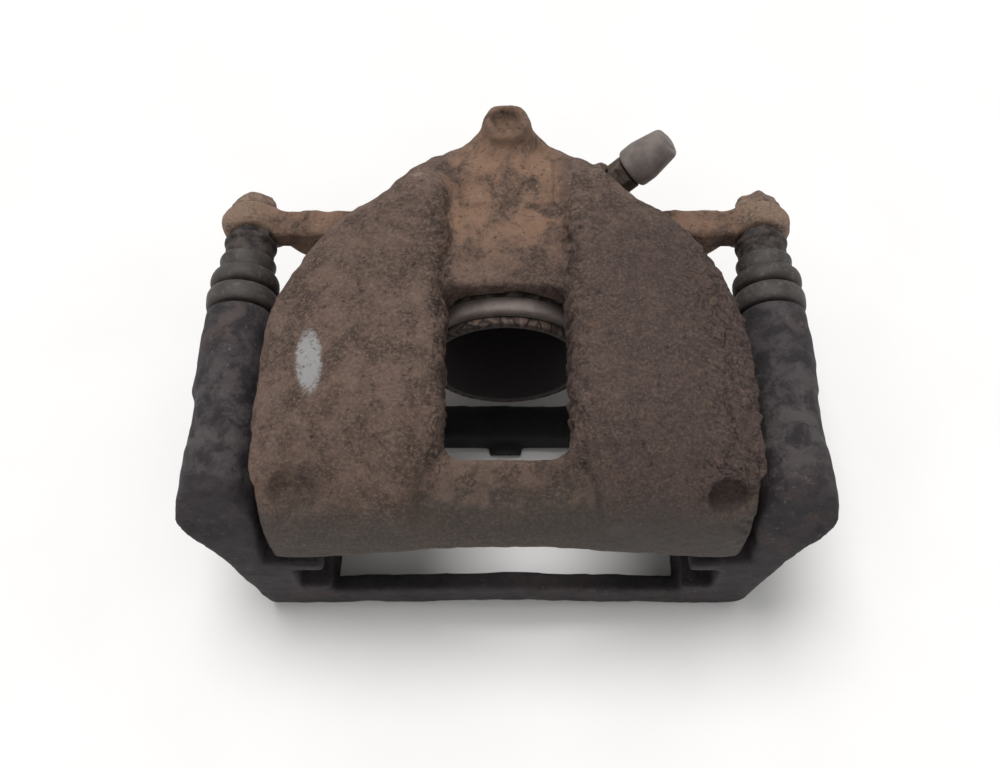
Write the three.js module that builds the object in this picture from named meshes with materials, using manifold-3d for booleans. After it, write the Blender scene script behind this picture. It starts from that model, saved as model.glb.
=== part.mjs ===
// Brake caliper: a single-piston sliding caliper with its carrier bracket, without pads or hose.
// Millimetres. +X is to the right as seen from the wheel side, +Y points inboard, away from the wheel,
// and +Z points away from the hub. The origin is under the middle of the whole, where it rests.
//
// Every length along Y is measured from the piston's rim at rest, and every height from the piston's
// axis. The outer group then lifts the whole onto its resting face.
import * as THREE from 'three';
import { mergeVertices } from 'three/addons/utils/BufferGeometryUtils.js';
import Module from 'manifold-3d';

const wasm = await Module();
wasm.setup();

// ---- Driving dimensions -------------------------------------------------------------------------
// Fits
const fitGap = 0.3;                // between two pieces that seat on each other
const slideGap = 0.35;             // radial, between a pin or piston and its bore
const movingGap = 1.2;             // between the housing and the carrier's arms

// Whole
const axisHeight = 46;             // piston axis above the resting face
const outboardReach = 68;          // from the piston's rim to the carrier's outboard face
const inboardReach = 73.5;         // from the piston's rim to the rear of the top boss

// Piston and cylinder
const pistonRadius = 27;
const pistonLength = 48;
const pistonWall = 2.8;
const pistonFloor = 9;
const pistonGroove = { start: 2.6, width: 2.4, depth: 0.8 };
const cylinderWall = 8.5;
const cylinderCollarWall = 7;
const cylinderCollarLength = 7;
const cylinderFaceY = 7;           // outboard face of the cylinder
const cylinderRearY = 68;
const cylinderFloor = 8;
const sealGroove = { start: 21, width: 4.2, depth: 3.6 };
const bootPocket = { radius: pistonRadius + 4.9, depth: 5 };
const retainingRing = { section: 1.2, setback: 0.6 };

// Disc that the caliper reaches over
const discRadius = 130;
const discGap = 3;
const hubDrop = discRadius + discGap - pistonRadius - 1;   // hub axis below the piston axis
const discOutboardY = -39;
const discInboardY = -10;

// Guide axes and the arms round them
const pinX = 86;
const pinZ = 15;
const armRadius = 10.8;            // round of each guide boss

// Housing
const housingInset = 11;           // from each guide axis to the edge of the bridge
const housingHalfWidth = pinX - housingInset;
const wingHeight = pinZ + armRadius + movingGap;   // the bridge overhangs the arms above this height
const bridgeThickness = 18;        // in the middle, over the disc
const bridgeTop = discRadius + discGap - hubDrop + bridgeThickness;
const valleyHalfWidth = 14;
const valleyFloor = 38.5;
const fingerFaceY = -65;           // outboard face of the finger plate
const fingerInnerY = -53;          // face that pushes the outboard pad
const fingerCorner = 8;            // fills the corner between the finger and the bridge
const fingerArch = { radius: 210, middle: 8 };
const bridgeWindow = { halfWidth: 18.2, frontY: -49, corner: 5 };
const fingerDimple = { x: 63, y: -56, z: 26, radius: 6.2, depth: 2.2, tilt: 0.9 };
const topBoss = { radius: 7.5, foot: 11, dish: 4.6, dishDepth: 1.6 };
const hoseBoss = { x: -14, z: 10, radius: 10, height: 3.5, port: 5, portDepth: 9 };

// Guide pins
const pinRadius = 5.8;
const pinTipY = -44;
const pinShoulder = { radius: 8, length: 12.5 };
const pinFlange = { across: 14, length: 5.2 };
const bushing = { length: 14, wall: 1.4 };
const ear = { frontY: 41.8, rearY: 49.7, top: 6, bottom: 9, endX: pinX + 10.5 };
const earBar = { frontY: 39.4, rearY: 49.7, top: 5, bottom: 4 };
const earWeb = { frontY: 42.5, rearY: 48.5, endX: pinX - 12, drop: 16 };
const boltRadius = 4;
const boltHead = { across: 13, height: 5.5, washer: 8, washerHeight: 1.4 };
const boltReach = 30;

// Guide boots
const guideBoot = { wall: 1.1, fold: 11.3, root: 8.9, collar: 9.4, collarLength: 4, length: 18.7 };

// Carrier
const carrierHalfWidth = pinX + 11;
const armFaceY = 10;               // inboard face of the guide bosses
const abutmentHalfGap = 57;
const abutmentTop = -8;
const tieBar = { height: 14, thickness: 6.5, rise: 3.6 };
const crossMember = {
  height: axisHeight - pistonRadius - cylinderCollarWall - 0.5, rearY: 3, tab: 6, tabReach: 2.6,
};
const inboardFrameRearY = 8;
const knuckleLug = { radius: 12.5, rearY: 16, hole: 6 };
const padSlot = { depth: 9.5, top: -13, bottom: -26.5 };
const padClip = { sheet: 0.8, lip: 3.2, length: 13 };

// Bleeder
const bleeder = {
  base: new THREE.Vector3(42.5, 57, 33),            // where the rubber cap starts
  direction: new THREE.Vector3(0.73, 0.22, 0.65).normalize(),
  bossFace: -8, bossRadius: 8.5, bossDepth: 17,
  thread: 4, threadLength: 12.5, hexAcross: 10, hexHeight: 5.6,
  nipple: 2.8, nippleTip: 10.2, bore: 1.2,
};
const bleederCap = { base: 6.6, tip: 5, length: 14.6, start: -1.4, wall: 2, button: 2.6 };

// ---- Helpers ------------------------------------------------------------------------------------
const segments = 28;

// A closed three.js geometry as a solid: shared corners are merged and empty triangles dropped.
function solid(geometry) {
  const bare = geometry.clone();
  bare.deleteAttribute('normal');
  bare.deleteAttribute('uv');
  const merged = mergeVertices(bare, 1e-4);
  const corners = merged.index.array;
  const kept = [];
  for (let i = 0; i < corners.length; i += 3) {
    const [a, b, c] = [corners[i], corners[i + 1], corners[i + 2]];
    if (a !== b && b !== c && c !== a) kept.push(a, b, c);
  }
  return new wasm.Manifold(new wasm.Mesh({
    numProp: 3,
    vertProperties: Float32Array.from(merged.attributes.position.array),
    triVerts: Uint32Array.from(kept),
  }));
}

function geometryOf(body) {
  const mesh = body.getMesh();
  const geometry = new THREE.BufferGeometry();
  geometry.setAttribute('position', new THREE.BufferAttribute(mesh.vertProperties, 3));
  geometry.setIndex(new THREE.BufferAttribute(mesh.triVerts, 1));
  geometry.computeVertexNormals();
  return geometry;
}

function outline(points) {
  return new THREE.Shape(points.map(([u, v]) => new THREE.Vector2(u, v)));
}

// Smooth closed outline through points, symmetric about u = 0: `half` runs from the middle of the
// bottom round the positive side to the middle of the top.
function mirrored(half) {
  const other = half.slice().reverse().filter(([u]) => u !== 0).map(([u, v]) => [-u, v]);
  return outline([...half, ...other]);
}

function splined(points, divisions) {
  const curve = new THREE.SplineCurve(points.map(([u, v]) => new THREE.Vector2(u, v)));
  return curve.getPoints(divisions).map((point) => [point.x, point.y]);
}

function prism(shape, depth) {
  return new THREE.ExtrudeGeometry(shape, { depth, bevelEnabled: false, curveSegments: 5 });
}

// An outline in X and Z, carried along Y.
function alongY(shape, startY, endY) {
  const geometry = prism(shape, endY - startY);
  geometry.rotateX(Math.PI / 2);
  geometry.translate(0, endY, 0);
  return solid(geometry);
}

// An outline in Y and Z, carried along X.
function alongX(shape, startX, endX) {
  const geometry = prism(shape, endX - startX);
  geometry.applyMatrix4(new THREE.Matrix4().makeBasis(
    new THREE.Vector3(0, 1, 0), new THREE.Vector3(0, 0, 1), new THREE.Vector3(1, 0, 0)));
  geometry.translate(startX, 0, 0);
  return solid(geometry);
}

// An outline in X and Y, carried along Z.
function alongZ(shape, startZ, endZ) {
  const geometry = prism(shape, endZ - startZ);
  geometry.translate(0, 0, startZ);
  return solid(geometry);
}

// A closed profile of [radius, distance along Y], turned about the Y axis and moved to x, z.
function turned(profile, x = 0, z = 0, sides = segments) {
  const points = profile.map(([radius, along]) => new THREE.Vector2(radius, along));
  if (THREE.ShapeUtils.area(points) < 0) points.reverse();
  if (points[0].x > 0 || points.at(-1).x > 0) points.push(points[0].clone());
  const geometry = new THREE.LatheGeometry(points, sides);
  geometry.translate(x, 0, z);
  return solid(geometry);
}

function rod(radius, startY, endY, x = 0, z = 0, sides = segments) {
  return turned([[0, startY], [radius, startY], [radius, endY], [0, endY]], x, z, sides);
}

function box(startX, endX, startY, endY, startZ, endZ) {
  const geometry = new THREE.BoxGeometry(endX - startX, endY - startY, endZ - startZ);
  geometry.translate((startX + endX) / 2, (startY + endY) / 2, (startZ + endZ) / 2);
  return solid(geometry);
}

// A hexagonal prism along Y with flats facing +X and -X.
function hexagon(across, startY, endY, x, z) {
  const corner = across / Math.sqrt(3);
  const points = [...Array(6).keys()].map((i) => {
    const angle = (i + 0.5) * Math.PI / 3;
    return [x + corner * Math.cos(angle), z + corner * Math.sin(angle)];
  });
  return alongY(outline(points), startY, endY);
}

// A rounded rectangle as an outline.
function roundedRectangle(startU, endU, startV, endV, corner) {
  const shape = new THREE.Shape();
  shape.moveTo(startU + corner, startV);
  shape.lineTo(endU - corner, startV);
  shape.absarc(endU - corner, startV + corner, corner, -Math.PI / 2, 0);
  shape.lineTo(endU, endV - corner);
  shape.absarc(endU - corner, endV - corner, corner, 0, Math.PI / 2);
  shape.lineTo(startU + corner, endV);
  shape.absarc(startU + corner, endV - corner, corner, Math.PI / 2, Math.PI);
  shape.lineTo(startU, startV + corner);
  shape.absarc(startU + corner, startV + corner, corner, Math.PI, 1.5 * Math.PI);
  return shape;
}

// A turned profile of [radius, distance] stood on the bleeder's axis, measured from the cap's base.
const bleederTurn = new THREE.Quaternion().setFromUnitVectors(
  new THREE.Vector3(0, 1, 0), bleeder.direction);
function alongBleeder(body) {
  const placed = geometryOf(body);
  placed.applyQuaternion(bleederTurn);
  placed.translate(...bleeder.base.toArray());
  return solid(placed);
}

function union(bodies) {
  return bodies.reduce((joined, body) => joined.add(body));
}

function cut(body, tools) {
  return tools.reduce((left, tool) => left.subtract(tool), body);
}

const finishes = {
  castIron: [0x5c4a3d, 0.92, 0.25],
  carrierIron: [0x3b3839, 0.85, 0.25],
  plainSteel: [0x6d5a4b, 0.7, 0.6],
  boltSteel: [0x64503f, 0.85, 0.4],
  stainless: [0x8d9092, 0.35, 0.9],
  rubber: [0x47423f, 0.8, 0],
  capRubber: [0x5d5753, 0.75, 0],
  sealRubber: [0x1c1b1a, 0.6, 0],
};

function piece(name, body, finish) {
  const [color, roughness, metalness] = finishes[finish];
  const mesh = new THREE.Mesh(
    geometryOf(body), new THREE.MeshStandardMaterial({ color, roughness, metalness }));
  mesh.name = name;
  return mesh;
}

// ---- Shared derived sizes -----------------------------------------------------------------------
const boreRadius = pistonRadius + slideGap;
const cylinderRadius = pistonRadius + cylinderWall;
const collarRadius = pistonRadius + cylinderCollarWall;
const boreFloorY = cylinderRearY - cylinderFloor;
const guideBoreRadius = pinRadius + slideGap;
const guideBoreEndY = pinTipY - 5;
const carrierFaceY = -outboardReach;
const restZ = -axisHeight;
const sides = [['left', -1], ['right', 1]];
const bleederFace = bleeder.bossFace;
const lugX = abutmentHalfGap + knuckleLug.radius;
const lugZ = restZ + knuckleLug.radius;

// ---- Housing ------------------------------------------------------------------------------------
// The bridge is where three outlines meet: seen from the side, from the wheel and from above.
function housingBridge() {
  const side = outline([
    [fingerFaceY, -20],
    ...splined([[fingerFaceY, -2], [fingerFaceY + 1.5, 10], [fingerFaceY + 5.5, 22],
      [fingerFaceY + 12, 32], [fingerFaceY + 23, 41], [fingerFaceY + 40, bridgeTop]], 10),
    ...splined([[10, bridgeTop], [35, bridgeTop - 2], [55, bridgeTop - 7], [cylinderRearY, 31]], 7),
    [cylinderRearY, -20],
  ]);
  const hump = splined([
    [housingHalfWidth, wingHeight + 3], [housingHalfWidth - 4, 35], [housingHalfWidth - 15, 41],
    [46, bridgeTop - 1], [34, bridgeTop], [valleyHalfWidth + 9, bridgeTop - 2],
  ], 10);
  const wall = pinX - armRadius - movingGap;
  const underside = abutmentTop + movingGap;
  const wheelSide = mirrored([
    [0, underside], [wall, underside], [wall, wingHeight], [housingHalfWidth, wingHeight + 1], ...hump,
    [valleyHalfWidth, valleyFloor], [0, valleyFloor],
  ]);
  const above = mirrored([
    [0, fingerFaceY], [housingHalfWidth - 9, fingerFaceY],
    ...splined([[housingHalfWidth - 3, fingerFaceY + 3], [housingHalfWidth, fingerFaceY + 12],
      [housingHalfWidth, -12], [housingHalfWidth - 4, 9], [housingHalfWidth - 11.5, 28],
      [housingHalfWidth - 24, 38], [41, 46], [32, 53.5], [22, 63], [14, cylinderRearY]], 18),
    [0, cylinderRearY],
  ]);
  const width = 2 * housingHalfWidth;
  return alongX(side, -width, width)
    .intersect(alongY(wheelSide, fingerFaceY - 1, cylinderRearY + 1))
    .intersect(alongZ(above, -axisHeight, bridgeTop + 1));
}

// The room under the bridge for the disc and the pads, open downwards.
function discRoom() {
  const room = discRadius + discGap;
  return turned([
    [0, fingerInnerY], [room - fingerCorner, fingerInnerY], [room - 0.3 * fingerCorner,
      fingerInnerY + 0.3 * fingerCorner], [room, fingerInnerY + fingerCorner],
    [room, inboardReach + 1], [0, inboardReach + 1],
  ], 0, -hubDrop, 96);
}

function fingerArchCut() {
  return rod(fingerArch.radius, fingerFaceY - 1, fingerInnerY + 1, 0,
    fingerArch.middle - fingerArch.radius, 120);
}

function housingEar(side) {
  const spanX = [side * 40, side * (ear.endX)].sort((a, b) => a - b);
  const stepX = pinX - pinFlange.across / 2 - fitGap;
  const padStart = stepX - 4;
  const bar = roundedRectangle(spanX[0], spanX[1], pinZ - earBar.bottom, pinZ + earBar.top, 2);
  const step = side > 0 ? [40, stepX] : [-stepX, -40];
  const stop = roundedRectangle(step[0], step[1], pinZ - earBar.bottom, pinZ + earBar.top, 2);
  const pad = side > 0 ? [padStart, ear.endX] : [-ear.endX, -padStart];
  const end = roundedRectangle(pad[0], pad[1], pinZ - ear.bottom, pinZ + ear.top, 4);
  const underside = pinZ - earBar.bottom + 1;
  const web = outline([[40, underside - earWeb.drop - 3], [52, underside - earWeb.drop],
    [earWeb.endX, underside - 6], [earWeb.endX, underside], [40, underside]]
    .map(([x, z]) => [side * x, z]));
  return union([
    alongY(web, earWeb.frontY, earWeb.rearY),
    alongY(bar, ear.frontY, ear.rearY),
    alongY(stop, earBar.frontY, earBar.rearY),
    alongY(end, ear.frontY, ear.rearY),
  ]);
}

function housing() {
  const cylinder = turned([
    [0, cylinderFaceY], [collarRadius, cylinderFaceY],
    [collarRadius, cylinderFaceY + cylinderCollarLength],
    [cylinderRadius, cylinderFaceY + cylinderCollarLength + 2],
    [cylinderRadius, cylinderRearY - 5], [cylinderRadius - 6, cylinderRearY], [0, cylinderRearY],
  ], 0, 0, 48);
  const shell = cut(housingBridge(), [discRoom(), fingerArchCut()]);
  const bossGeometry = new THREE.CylinderGeometry(
    topBoss.radius, topBoss.foot, bridgeTop - 20, segments);
  bossGeometry.rotateX(Math.PI / 2);
  bossGeometry.translate(0, inboardReach - topBoss.radius, (bridgeTop + 20) / 2);
  const boss = solid(bossGeometry).intersect(
    box(-40, 40, 0, inboardReach, 0, bridgeTop + 1));
  const hose = rod(hoseBoss.radius, boreFloorY, cylinderRearY + hoseBoss.height, hoseBoss.x, hoseBoss.z);
  const bleederBoss = alongBleeder(rod(bleeder.bossRadius, bleederFace - bleeder.bossDepth, bleederFace));
  const body = union([shell, cylinder, boss, hose, bleederBoss,
    ...sides.map(([, side]) => housingEar(side))]);

  const bore = turned([
    [0, boreFloorY], [boreRadius, boreFloorY],
    [boreRadius, sealGroove.start + sealGroove.width],
    [boreRadius + sealGroove.depth, sealGroove.start + sealGroove.width],
    [boreRadius + sealGroove.depth, sealGroove.start], [boreRadius, sealGroove.start],
    [boreRadius, cylinderFaceY + bootPocket.depth], [bootPocket.radius, cylinderFaceY + bootPocket.depth],
    [bootPocket.radius, cylinderFaceY - 1], [0, cylinderFaceY - 1],
  ], 0, 0, 48);
  const { halfWidth, frontY, corner } = bridgeWindow;
  const opening = alongZ(roundedRectangle(
    -halfWidth, halfWidth, frontY, cylinderFaceY, corner), -1, bridgeTop + 1);
  const dishGeometry = new THREE.CylinderGeometry(
    topBoss.dish, topBoss.dish - 1.4, 2 * topBoss.dishDepth, segments);
  dishGeometry.rotateX(Math.PI / 2);
  dishGeometry.translate(0, inboardReach - topBoss.radius, bridgeTop);
  const dimples = sides.map(([, side]) => {
    const dimple = new THREE.CylinderGeometry(
      fingerDimple.radius, fingerDimple.radius - 1, 2 * fingerDimple.depth, segments);
    dimple.rotateX(fingerDimple.tilt);
    dimple.translate(side * fingerDimple.x, fingerDimple.y, fingerDimple.z);
    return solid(dimple);
  });
  const hosePort = rod(hoseBoss.port, cylinderRearY + hoseBoss.height - hoseBoss.portDepth,
    cylinderRearY + hoseBoss.height + 1, hoseBoss.x, hoseBoss.z);
  const hosePassage = rod(1.5, boreFloorY - 2, cylinderRearY, hoseBoss.x, hoseBoss.z, 16);
  const bleederHole = alongBleeder(turned([
    [0, bleederFace - 28], [1.5, bleederFace - 28], [1.5, bleederFace - bleeder.threadLength - 3],
    [bleeder.thread + slideGap, bleederFace - bleeder.threadLength - 0.6],
    [bleeder.thread + slideGap, bleederFace + 1], [0, bleederFace + 1],
  ]));
  const spanner = alongBleeder(rod(bleeder.bossRadius + movingGap, bleederFace, bleederCap.length + 10));
  const boltHoles = sides.map(([, side]) => rod(boltRadius + slideGap, earBar.frontY - 1, ear.rearY + 1,
    side * pinX, pinZ, 24));
  return cut(body, [bore, opening, solid(dishGeometry), ...dimples, hosePort, hosePassage, bleederHole,
    spanner, ...boltHoles]);
}

// ---- Carrier ------------------------------------------------------------------------------------
// Half of the frame seen from the wheel, from the foot up the outer side to the arm and back down to
// the pad abutment; `innerTop` is the height of the bar that joins the two halves.
function carrierFrame(innerTop, foot, rise) {
  const outer = carrierHalfWidth;
  return mirrored([
    [0, restZ + rise], [abutmentHalfGap - 12, restZ + rise / 3], [abutmentHalfGap, restZ],
    [foot, restZ], [outer - 14, -24], [outer - 11, -8], [outer - 5, 5], [outer, pinZ - 3],
    [outer - 3, pinZ + 8], [pinX, pinZ + armRadius], [pinX - 8, pinZ + 7],
    [pinX - armRadius, pinZ], [pinX - armRadius, abutmentTop], [abutmentHalfGap, abutmentTop],
    [abutmentHalfGap, innerTop], [abutmentHalfGap - 12, innerTop + rise / 3], [0, innerTop + rise],
  ]);
}

function carrierArm(side) {
  const outer = carrierHalfWidth;
  const points = [
    [pinX - armRadius, pinZ - 9.5], [outer - 6, pinZ - 12], [outer, pinZ - 3], [outer - 3, pinZ + 8],
    [pinX, pinZ + armRadius], [pinX - 8, pinZ + 7], [pinX - armRadius, pinZ],
  ].map(([x, z]) => [side * x, z]);
  return alongY(outline(points), carrierFaceY, armFaceY - 6);
}

function carrier() {
  const tieTop = restZ + tieBar.height;
  const crossTop = restZ + crossMember.height;
  const foot = carrierHalfWidth - 17;
  const outboard = alongY(carrierFrame(tieTop, foot, tieBar.rise), carrierFaceY, discOutboardY);
  const outboardRoom = box(-abutmentHalfGap, abutmentHalfGap,
    carrierFaceY + tieBar.thickness, discOutboardY + 1, restZ - 1, 40);
  const inboard = alongY(carrierFrame(crossTop, foot, 0), discInboardY, inboardFrameRearY);
  const inboardRoom = box(-abutmentHalfGap, abutmentHalfGap,
    crossMember.rearY, inboardFrameRearY + 1, restZ - 1, 40);
  const tab = rod(crossMember.tab, discInboardY - crossMember.tabReach, discInboardY + 2, 0, restZ,
    28).intersect(box(-20, 20, -40, 20, restZ, 0));
  const body = union([
    cut(outboard, [outboardRoom]), cut(inboard, [inboardRoom]), tab,
    ...sides.flatMap(([, side]) => [
      carrierArm(side),
      rod(armRadius, -20, armFaceY, side * pinX, pinZ),
      rod(knuckleLug.radius, discInboardY, knuckleLug.rearY, side * lugX, lugZ),
    ]),
  ]);
  const discSlot = rod(discRadius + discGap, discOutboardY, discInboardY - 0.001, 0, -hubDrop, 96)
    .subtract(rod(crossMember.tab + 0.1, discInboardY - crossMember.tabReach - 0.1, discInboardY,
      0, restZ, 28));
  const slots = sides.map(([, side]) => {
    const span = [side * (abutmentHalfGap - 1), side * (abutmentHalfGap + padSlot.depth)];
    span.sort((a, b) => a - b);
    return box(span[0], span[1], carrierFaceY - 1, knuckleLug.rearY + 1, padSlot.bottom, padSlot.top);
  });
  const bores = sides.map(([, side]) => rod(guideBoreRadius, guideBoreEndY, armFaceY + 1,
    side * pinX, pinZ, 32));
  const lugHoles = sides.map(([, side]) => rod(knuckleLug.hole, discInboardY - 1,
    knuckleLug.rearY + 1, side * lugX, lugZ, 32));
  // Seen from the side, the outboard end leans back towards the top of the arms.
  const top = pinZ + armRadius + 1;
  const leaning = alongX(outline([
    [carrierFaceY, restZ - 1], [knuckleLug.rearY + 1, restZ - 1], [knuckleLug.rearY + 1, top],
    [carrierFaceY + 12.5, top], [carrierFaceY + 9, pinZ], [carrierFaceY + 4.4, 5],
    [carrierFaceY + 2, -8], [carrierFaceY, -26],
  ]), -carrierHalfWidth - 1, carrierHalfWidth + 1);
  return cut(body.intersect(leaning), [discSlot, ...slots, ...bores, ...lugHoles]);
}

// ---- Piston and its seals -----------------------------------------------------------------------
function piston() {
  const { start, width, depth } = pistonGroove;
  const inner = pistonRadius - pistonWall;
  return turned([
    [0, pistonLength - pistonFloor], [inner - 3, pistonLength - pistonFloor],
    [inner, pistonLength - pistonFloor - 3], [inner, 0], [pistonRadius, 0],
    [pistonRadius, start], [pistonRadius - depth, start], [pistonRadius - depth, start + width],
    [pistonRadius, start + width], [pistonRadius, pistonLength - 1.5],
    [pistonRadius - 1.5, pistonLength], [0, pistonLength],
  ], 0, 0, 48);
}

function pistonSeal() {
  const outer = boreRadius + sealGroove.depth - fitGap;
  const inner = pistonRadius + fitGap;
  return turned([
    [inner, sealGroove.start + fitGap], [outer, sealGroove.start + fitGap],
    [outer, sealGroove.start + sealGroove.width - fitGap],
    [inner, sealGroove.start + sealGroove.width - fitGap],
  ], 0, 0, 48);
}

// A bead at the bottom of the pocket, one fold that stands out of the cylinder, and a lip that grips
// the groove behind the piston's rim.
function pistonBoot() {
  const lip = pistonRadius - pistonGroove.depth + fitGap;
  const lipStart = pistonGroove.start + fitGap;
  const lipEnd = pistonGroove.start + pistonGroove.width - fitGap;
  const bead = cylinderFaceY + bootPocket.depth - fitGap;
  const ringInner = bootPocket.radius - fitGap - retainingRing.section;
  const foldInner = pistonRadius + 1.6;
  const foldOuter = ringInner - fitGap;
  const face = lipEnd + 1;
  return turned([
    [lip, lipStart], [foldInner, lipStart], [foldOuter - 0.4, lipStart + 0.6], [foldOuter, face],
    [foldOuter, bead - 2.4], [bootPocket.radius - fitGap, bead - 2.4],
    [bootPocket.radius - fitGap, bead], [foldOuter - 1.1, bead],
    [foldOuter - 1.1, lipEnd + 0.2], [foldInner, lipEnd], [lip, lipEnd],
  ], 0, 0, 48);
}

function bootRing() {
  const outer = bootPocket.radius - fitGap;
  const inner = outer - retainingRing.section;
  const start = cylinderFaceY + retainingRing.setback;
  return turned([
    [inner, start], [outer, start], [outer, start + retainingRing.section],
    [inner, start + retainingRing.section],
  ], 0, 0, 48);
}

// ---- Guide pins, bolts, bush and boots ----------------------------------------------------------
function guidePin(side, bushed) {
  const flangeY = ear.frontY - fitGap;
  const shoulderY = flangeY - pinFlange.length;
  const core = bushed ? pinRadius - bushing.wall - fitGap : pinRadius;
  const bushEndY = pinTipY + bushing.length;
  const shank = turned([
    [0, pinTipY], [core - 1, pinTipY], [core, pinTipY + 1], [core, bushEndY],
    [pinRadius, bushEndY], [pinRadius, shoulderY - pinShoulder.length],
    [pinShoulder.radius, shoulderY - pinShoulder.length], [pinShoulder.radius, flangeY - 1],
    [0, flangeY - 1],
  ], side * pinX, pinZ);
  const flange = hexagon(pinFlange.across, shoulderY, flangeY, side * pinX, pinZ)
    .intersect(rod(pinFlange.across / 2 + 0.8, shoulderY, flangeY, side * pinX, pinZ));
  const flangeRound = rod(pinFlange.across / 2, shoulderY, flangeY, side * pinX, pinZ);
  const thread = rod(boltRadius + slideGap, ear.rearY - boltReach - 2, flangeY + 1,
    side * pinX, pinZ, 24);
  const shoulderRoom = box(side * pinX - 30, side * pinX + 30, shoulderY, flangeY + 1, -30, 60)
    .subtract(flange.add(flangeRound));
  return cut(union([shank.subtract(shoulderRoom), flange, flangeRound]), [thread]);
}

function guideBolt(side) {
  const seatY = ear.rearY + fitGap;
  return union([
    rod(boltRadius, ear.rearY - boltReach, seatY + 1, side * pinX, pinZ, 24),
    rod(boltHead.washer, seatY, seatY + boltHead.washerHeight, side * pinX, pinZ, 32),
    hexagon(boltHead.across, seatY + boltHead.washerHeight - 0.2,
      seatY + boltHead.washerHeight + boltHead.height, side * pinX, pinZ),
  ]);
}

function guideBush(side) {
  const inner = pinRadius - bushing.wall;
  return turned([
    [inner, pinTipY + 1.5], [pinRadius, pinTipY + 1.5],
    [pinRadius, pinTipY + bushing.length - fitGap], [inner, pinTipY + bushing.length - fitGap],
  ], side * pinX, pinZ, 32);
}

function guideBootBody(side) {
  const { wall, fold, root, collar, collarLength } = guideBoot;
  const startY = armFaceY + fitGap;
  const endY = startY + guideBoot.length;
  const foldLength = (endY - collarLength - startY) / 2.5;
  const outer = [
    [fold, startY], [fold, startY + 0.6 * foldLength], [root, startY + foldLength],
    [fold, startY + 1.3 * foldLength], [fold, startY + 1.6 * foldLength],
    [root, startY + 2 * foldLength], [collar, startY + 2.4 * foldLength],
    [collar, endY],
  ];
  const inner = outer.slice().reverse().map(([radius, y]) => [radius - wall, y]);
  return turned([...outer, ...inner], side * pinX, pinZ, 28);
}

// ---- Bleeder ------------------------------------------------------------------------------------
function bleederScrew() {
  const { thread, threadLength, hexAcross, hexHeight, nipple, nippleTip, bore } = bleeder;
  const hexStart = bleederFace + fitGap;
  const hexEnd = hexStart + hexHeight;
  const turnedPart = turned([
    [0, bleederFace - threadLength - 2.4], [thread, bleederFace - threadLength + 1.6], [thread, hexStart + 1],
    [nipple, hexStart + 1], [nipple, nippleTip - 5], [nipple + 0.7, nippleTip - 4],
    [nipple - 0.3, nippleTip], [0, nippleTip],
  ], 0, 0, 28);
  const hex = hexagon(hexAcross, hexStart, hexEnd, 0, 0);
  const passage = rod(bore, bleederFace - threadLength + 3, nippleTip + 1, 0, 0, 12);
  return alongBleeder(cut(union([turnedPart, hex]), [passage]));
}

function bleederCapBody() {
  const { base, tip, length, start, wall, button } = bleederCap;
  const end = start + length;
  return alongBleeder(turned([
    [base - wall, start], [base, start], [base, start + 3], [tip, end - 1], [tip - 1, end],
    [button, end], [button, end + 0.6], [0, end + 0.6], [0, end - 2.4],
    [tip - wall + 0.6, end - 2.4], [base - wall, start + 3],
  ], 0, 0, 36));
}

// ---- Pad clips ----------------------------------------------------------------------------------
// Sheet bent round the pad slot, with a lip that turns over the abutment.
function clip(side, startY) {
  const back = abutmentHalfGap + padSlot.depth - fitGap;
  const mouth = abutmentHalfGap - fitGap;
  const [low, high] = [padSlot.bottom + fitGap, padSlot.top - fitGap];
  const { sheet, lip, length } = padClip;
  const points = [
    [mouth, low - lip], [mouth, low], [back, low], [back, high], [mouth, high], [mouth, high + lip],
    [mouth - sheet, high + lip], [mouth - sheet, high - sheet], [back - sheet, high - sheet],
    [back - sheet, low + sheet], [mouth - sheet, low + sheet], [mouth - sheet, low - lip],
  ].map(([x, z]) => [side * x, z]);
  return alongY(outline(points), startY, startY + length);
}

// ---- Assembly -----------------------------------------------------------------------------------
const caliper = new THREE.Group();
caliper.position.set(0, (outboardReach - inboardReach) / 2, axisHeight);

caliper.add(
  piece('carrier_bracket', carrier(), 'carrierIron'),
  piece('caliper_housing', housing(), 'castIron'),
  piece('piston', piston(), 'plainSteel'),
  piece('piston_seal', pistonSeal(), 'sealRubber'),
  piece('piston_dust_boot', pistonBoot(), 'rubber'),
  piece('dust_boot_ring', bootRing(), 'stainless'),
  piece('bleeder_screw', bleederScrew(), 'boltSteel'),
  piece('bleeder_cap', bleederCapBody(), 'capRubber'),
  piece('guide_pin_bush', guideBush(-1), 'sealRubber'),
);

for (const [name, side] of sides) {
  caliper.add(
    piece(`guide_pin_${name}`, guidePin(side, name === 'left'), 'plainSteel'),
    piece(`guide_bolt_${name}`, guideBolt(side), 'boltSteel'),
    piece(`guide_boot_${name}`, guideBootBody(side), 'rubber'),
    piece(`pad_clip_outboard_${name}`, clip(side, discOutboardY - padClip.length), 'stainless'),
    piece(`pad_clip_inboard_${name}`, clip(side, discInboardY), 'stainless'),
  );
}

export default caliper;
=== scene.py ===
from types import SimpleNamespace

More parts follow.
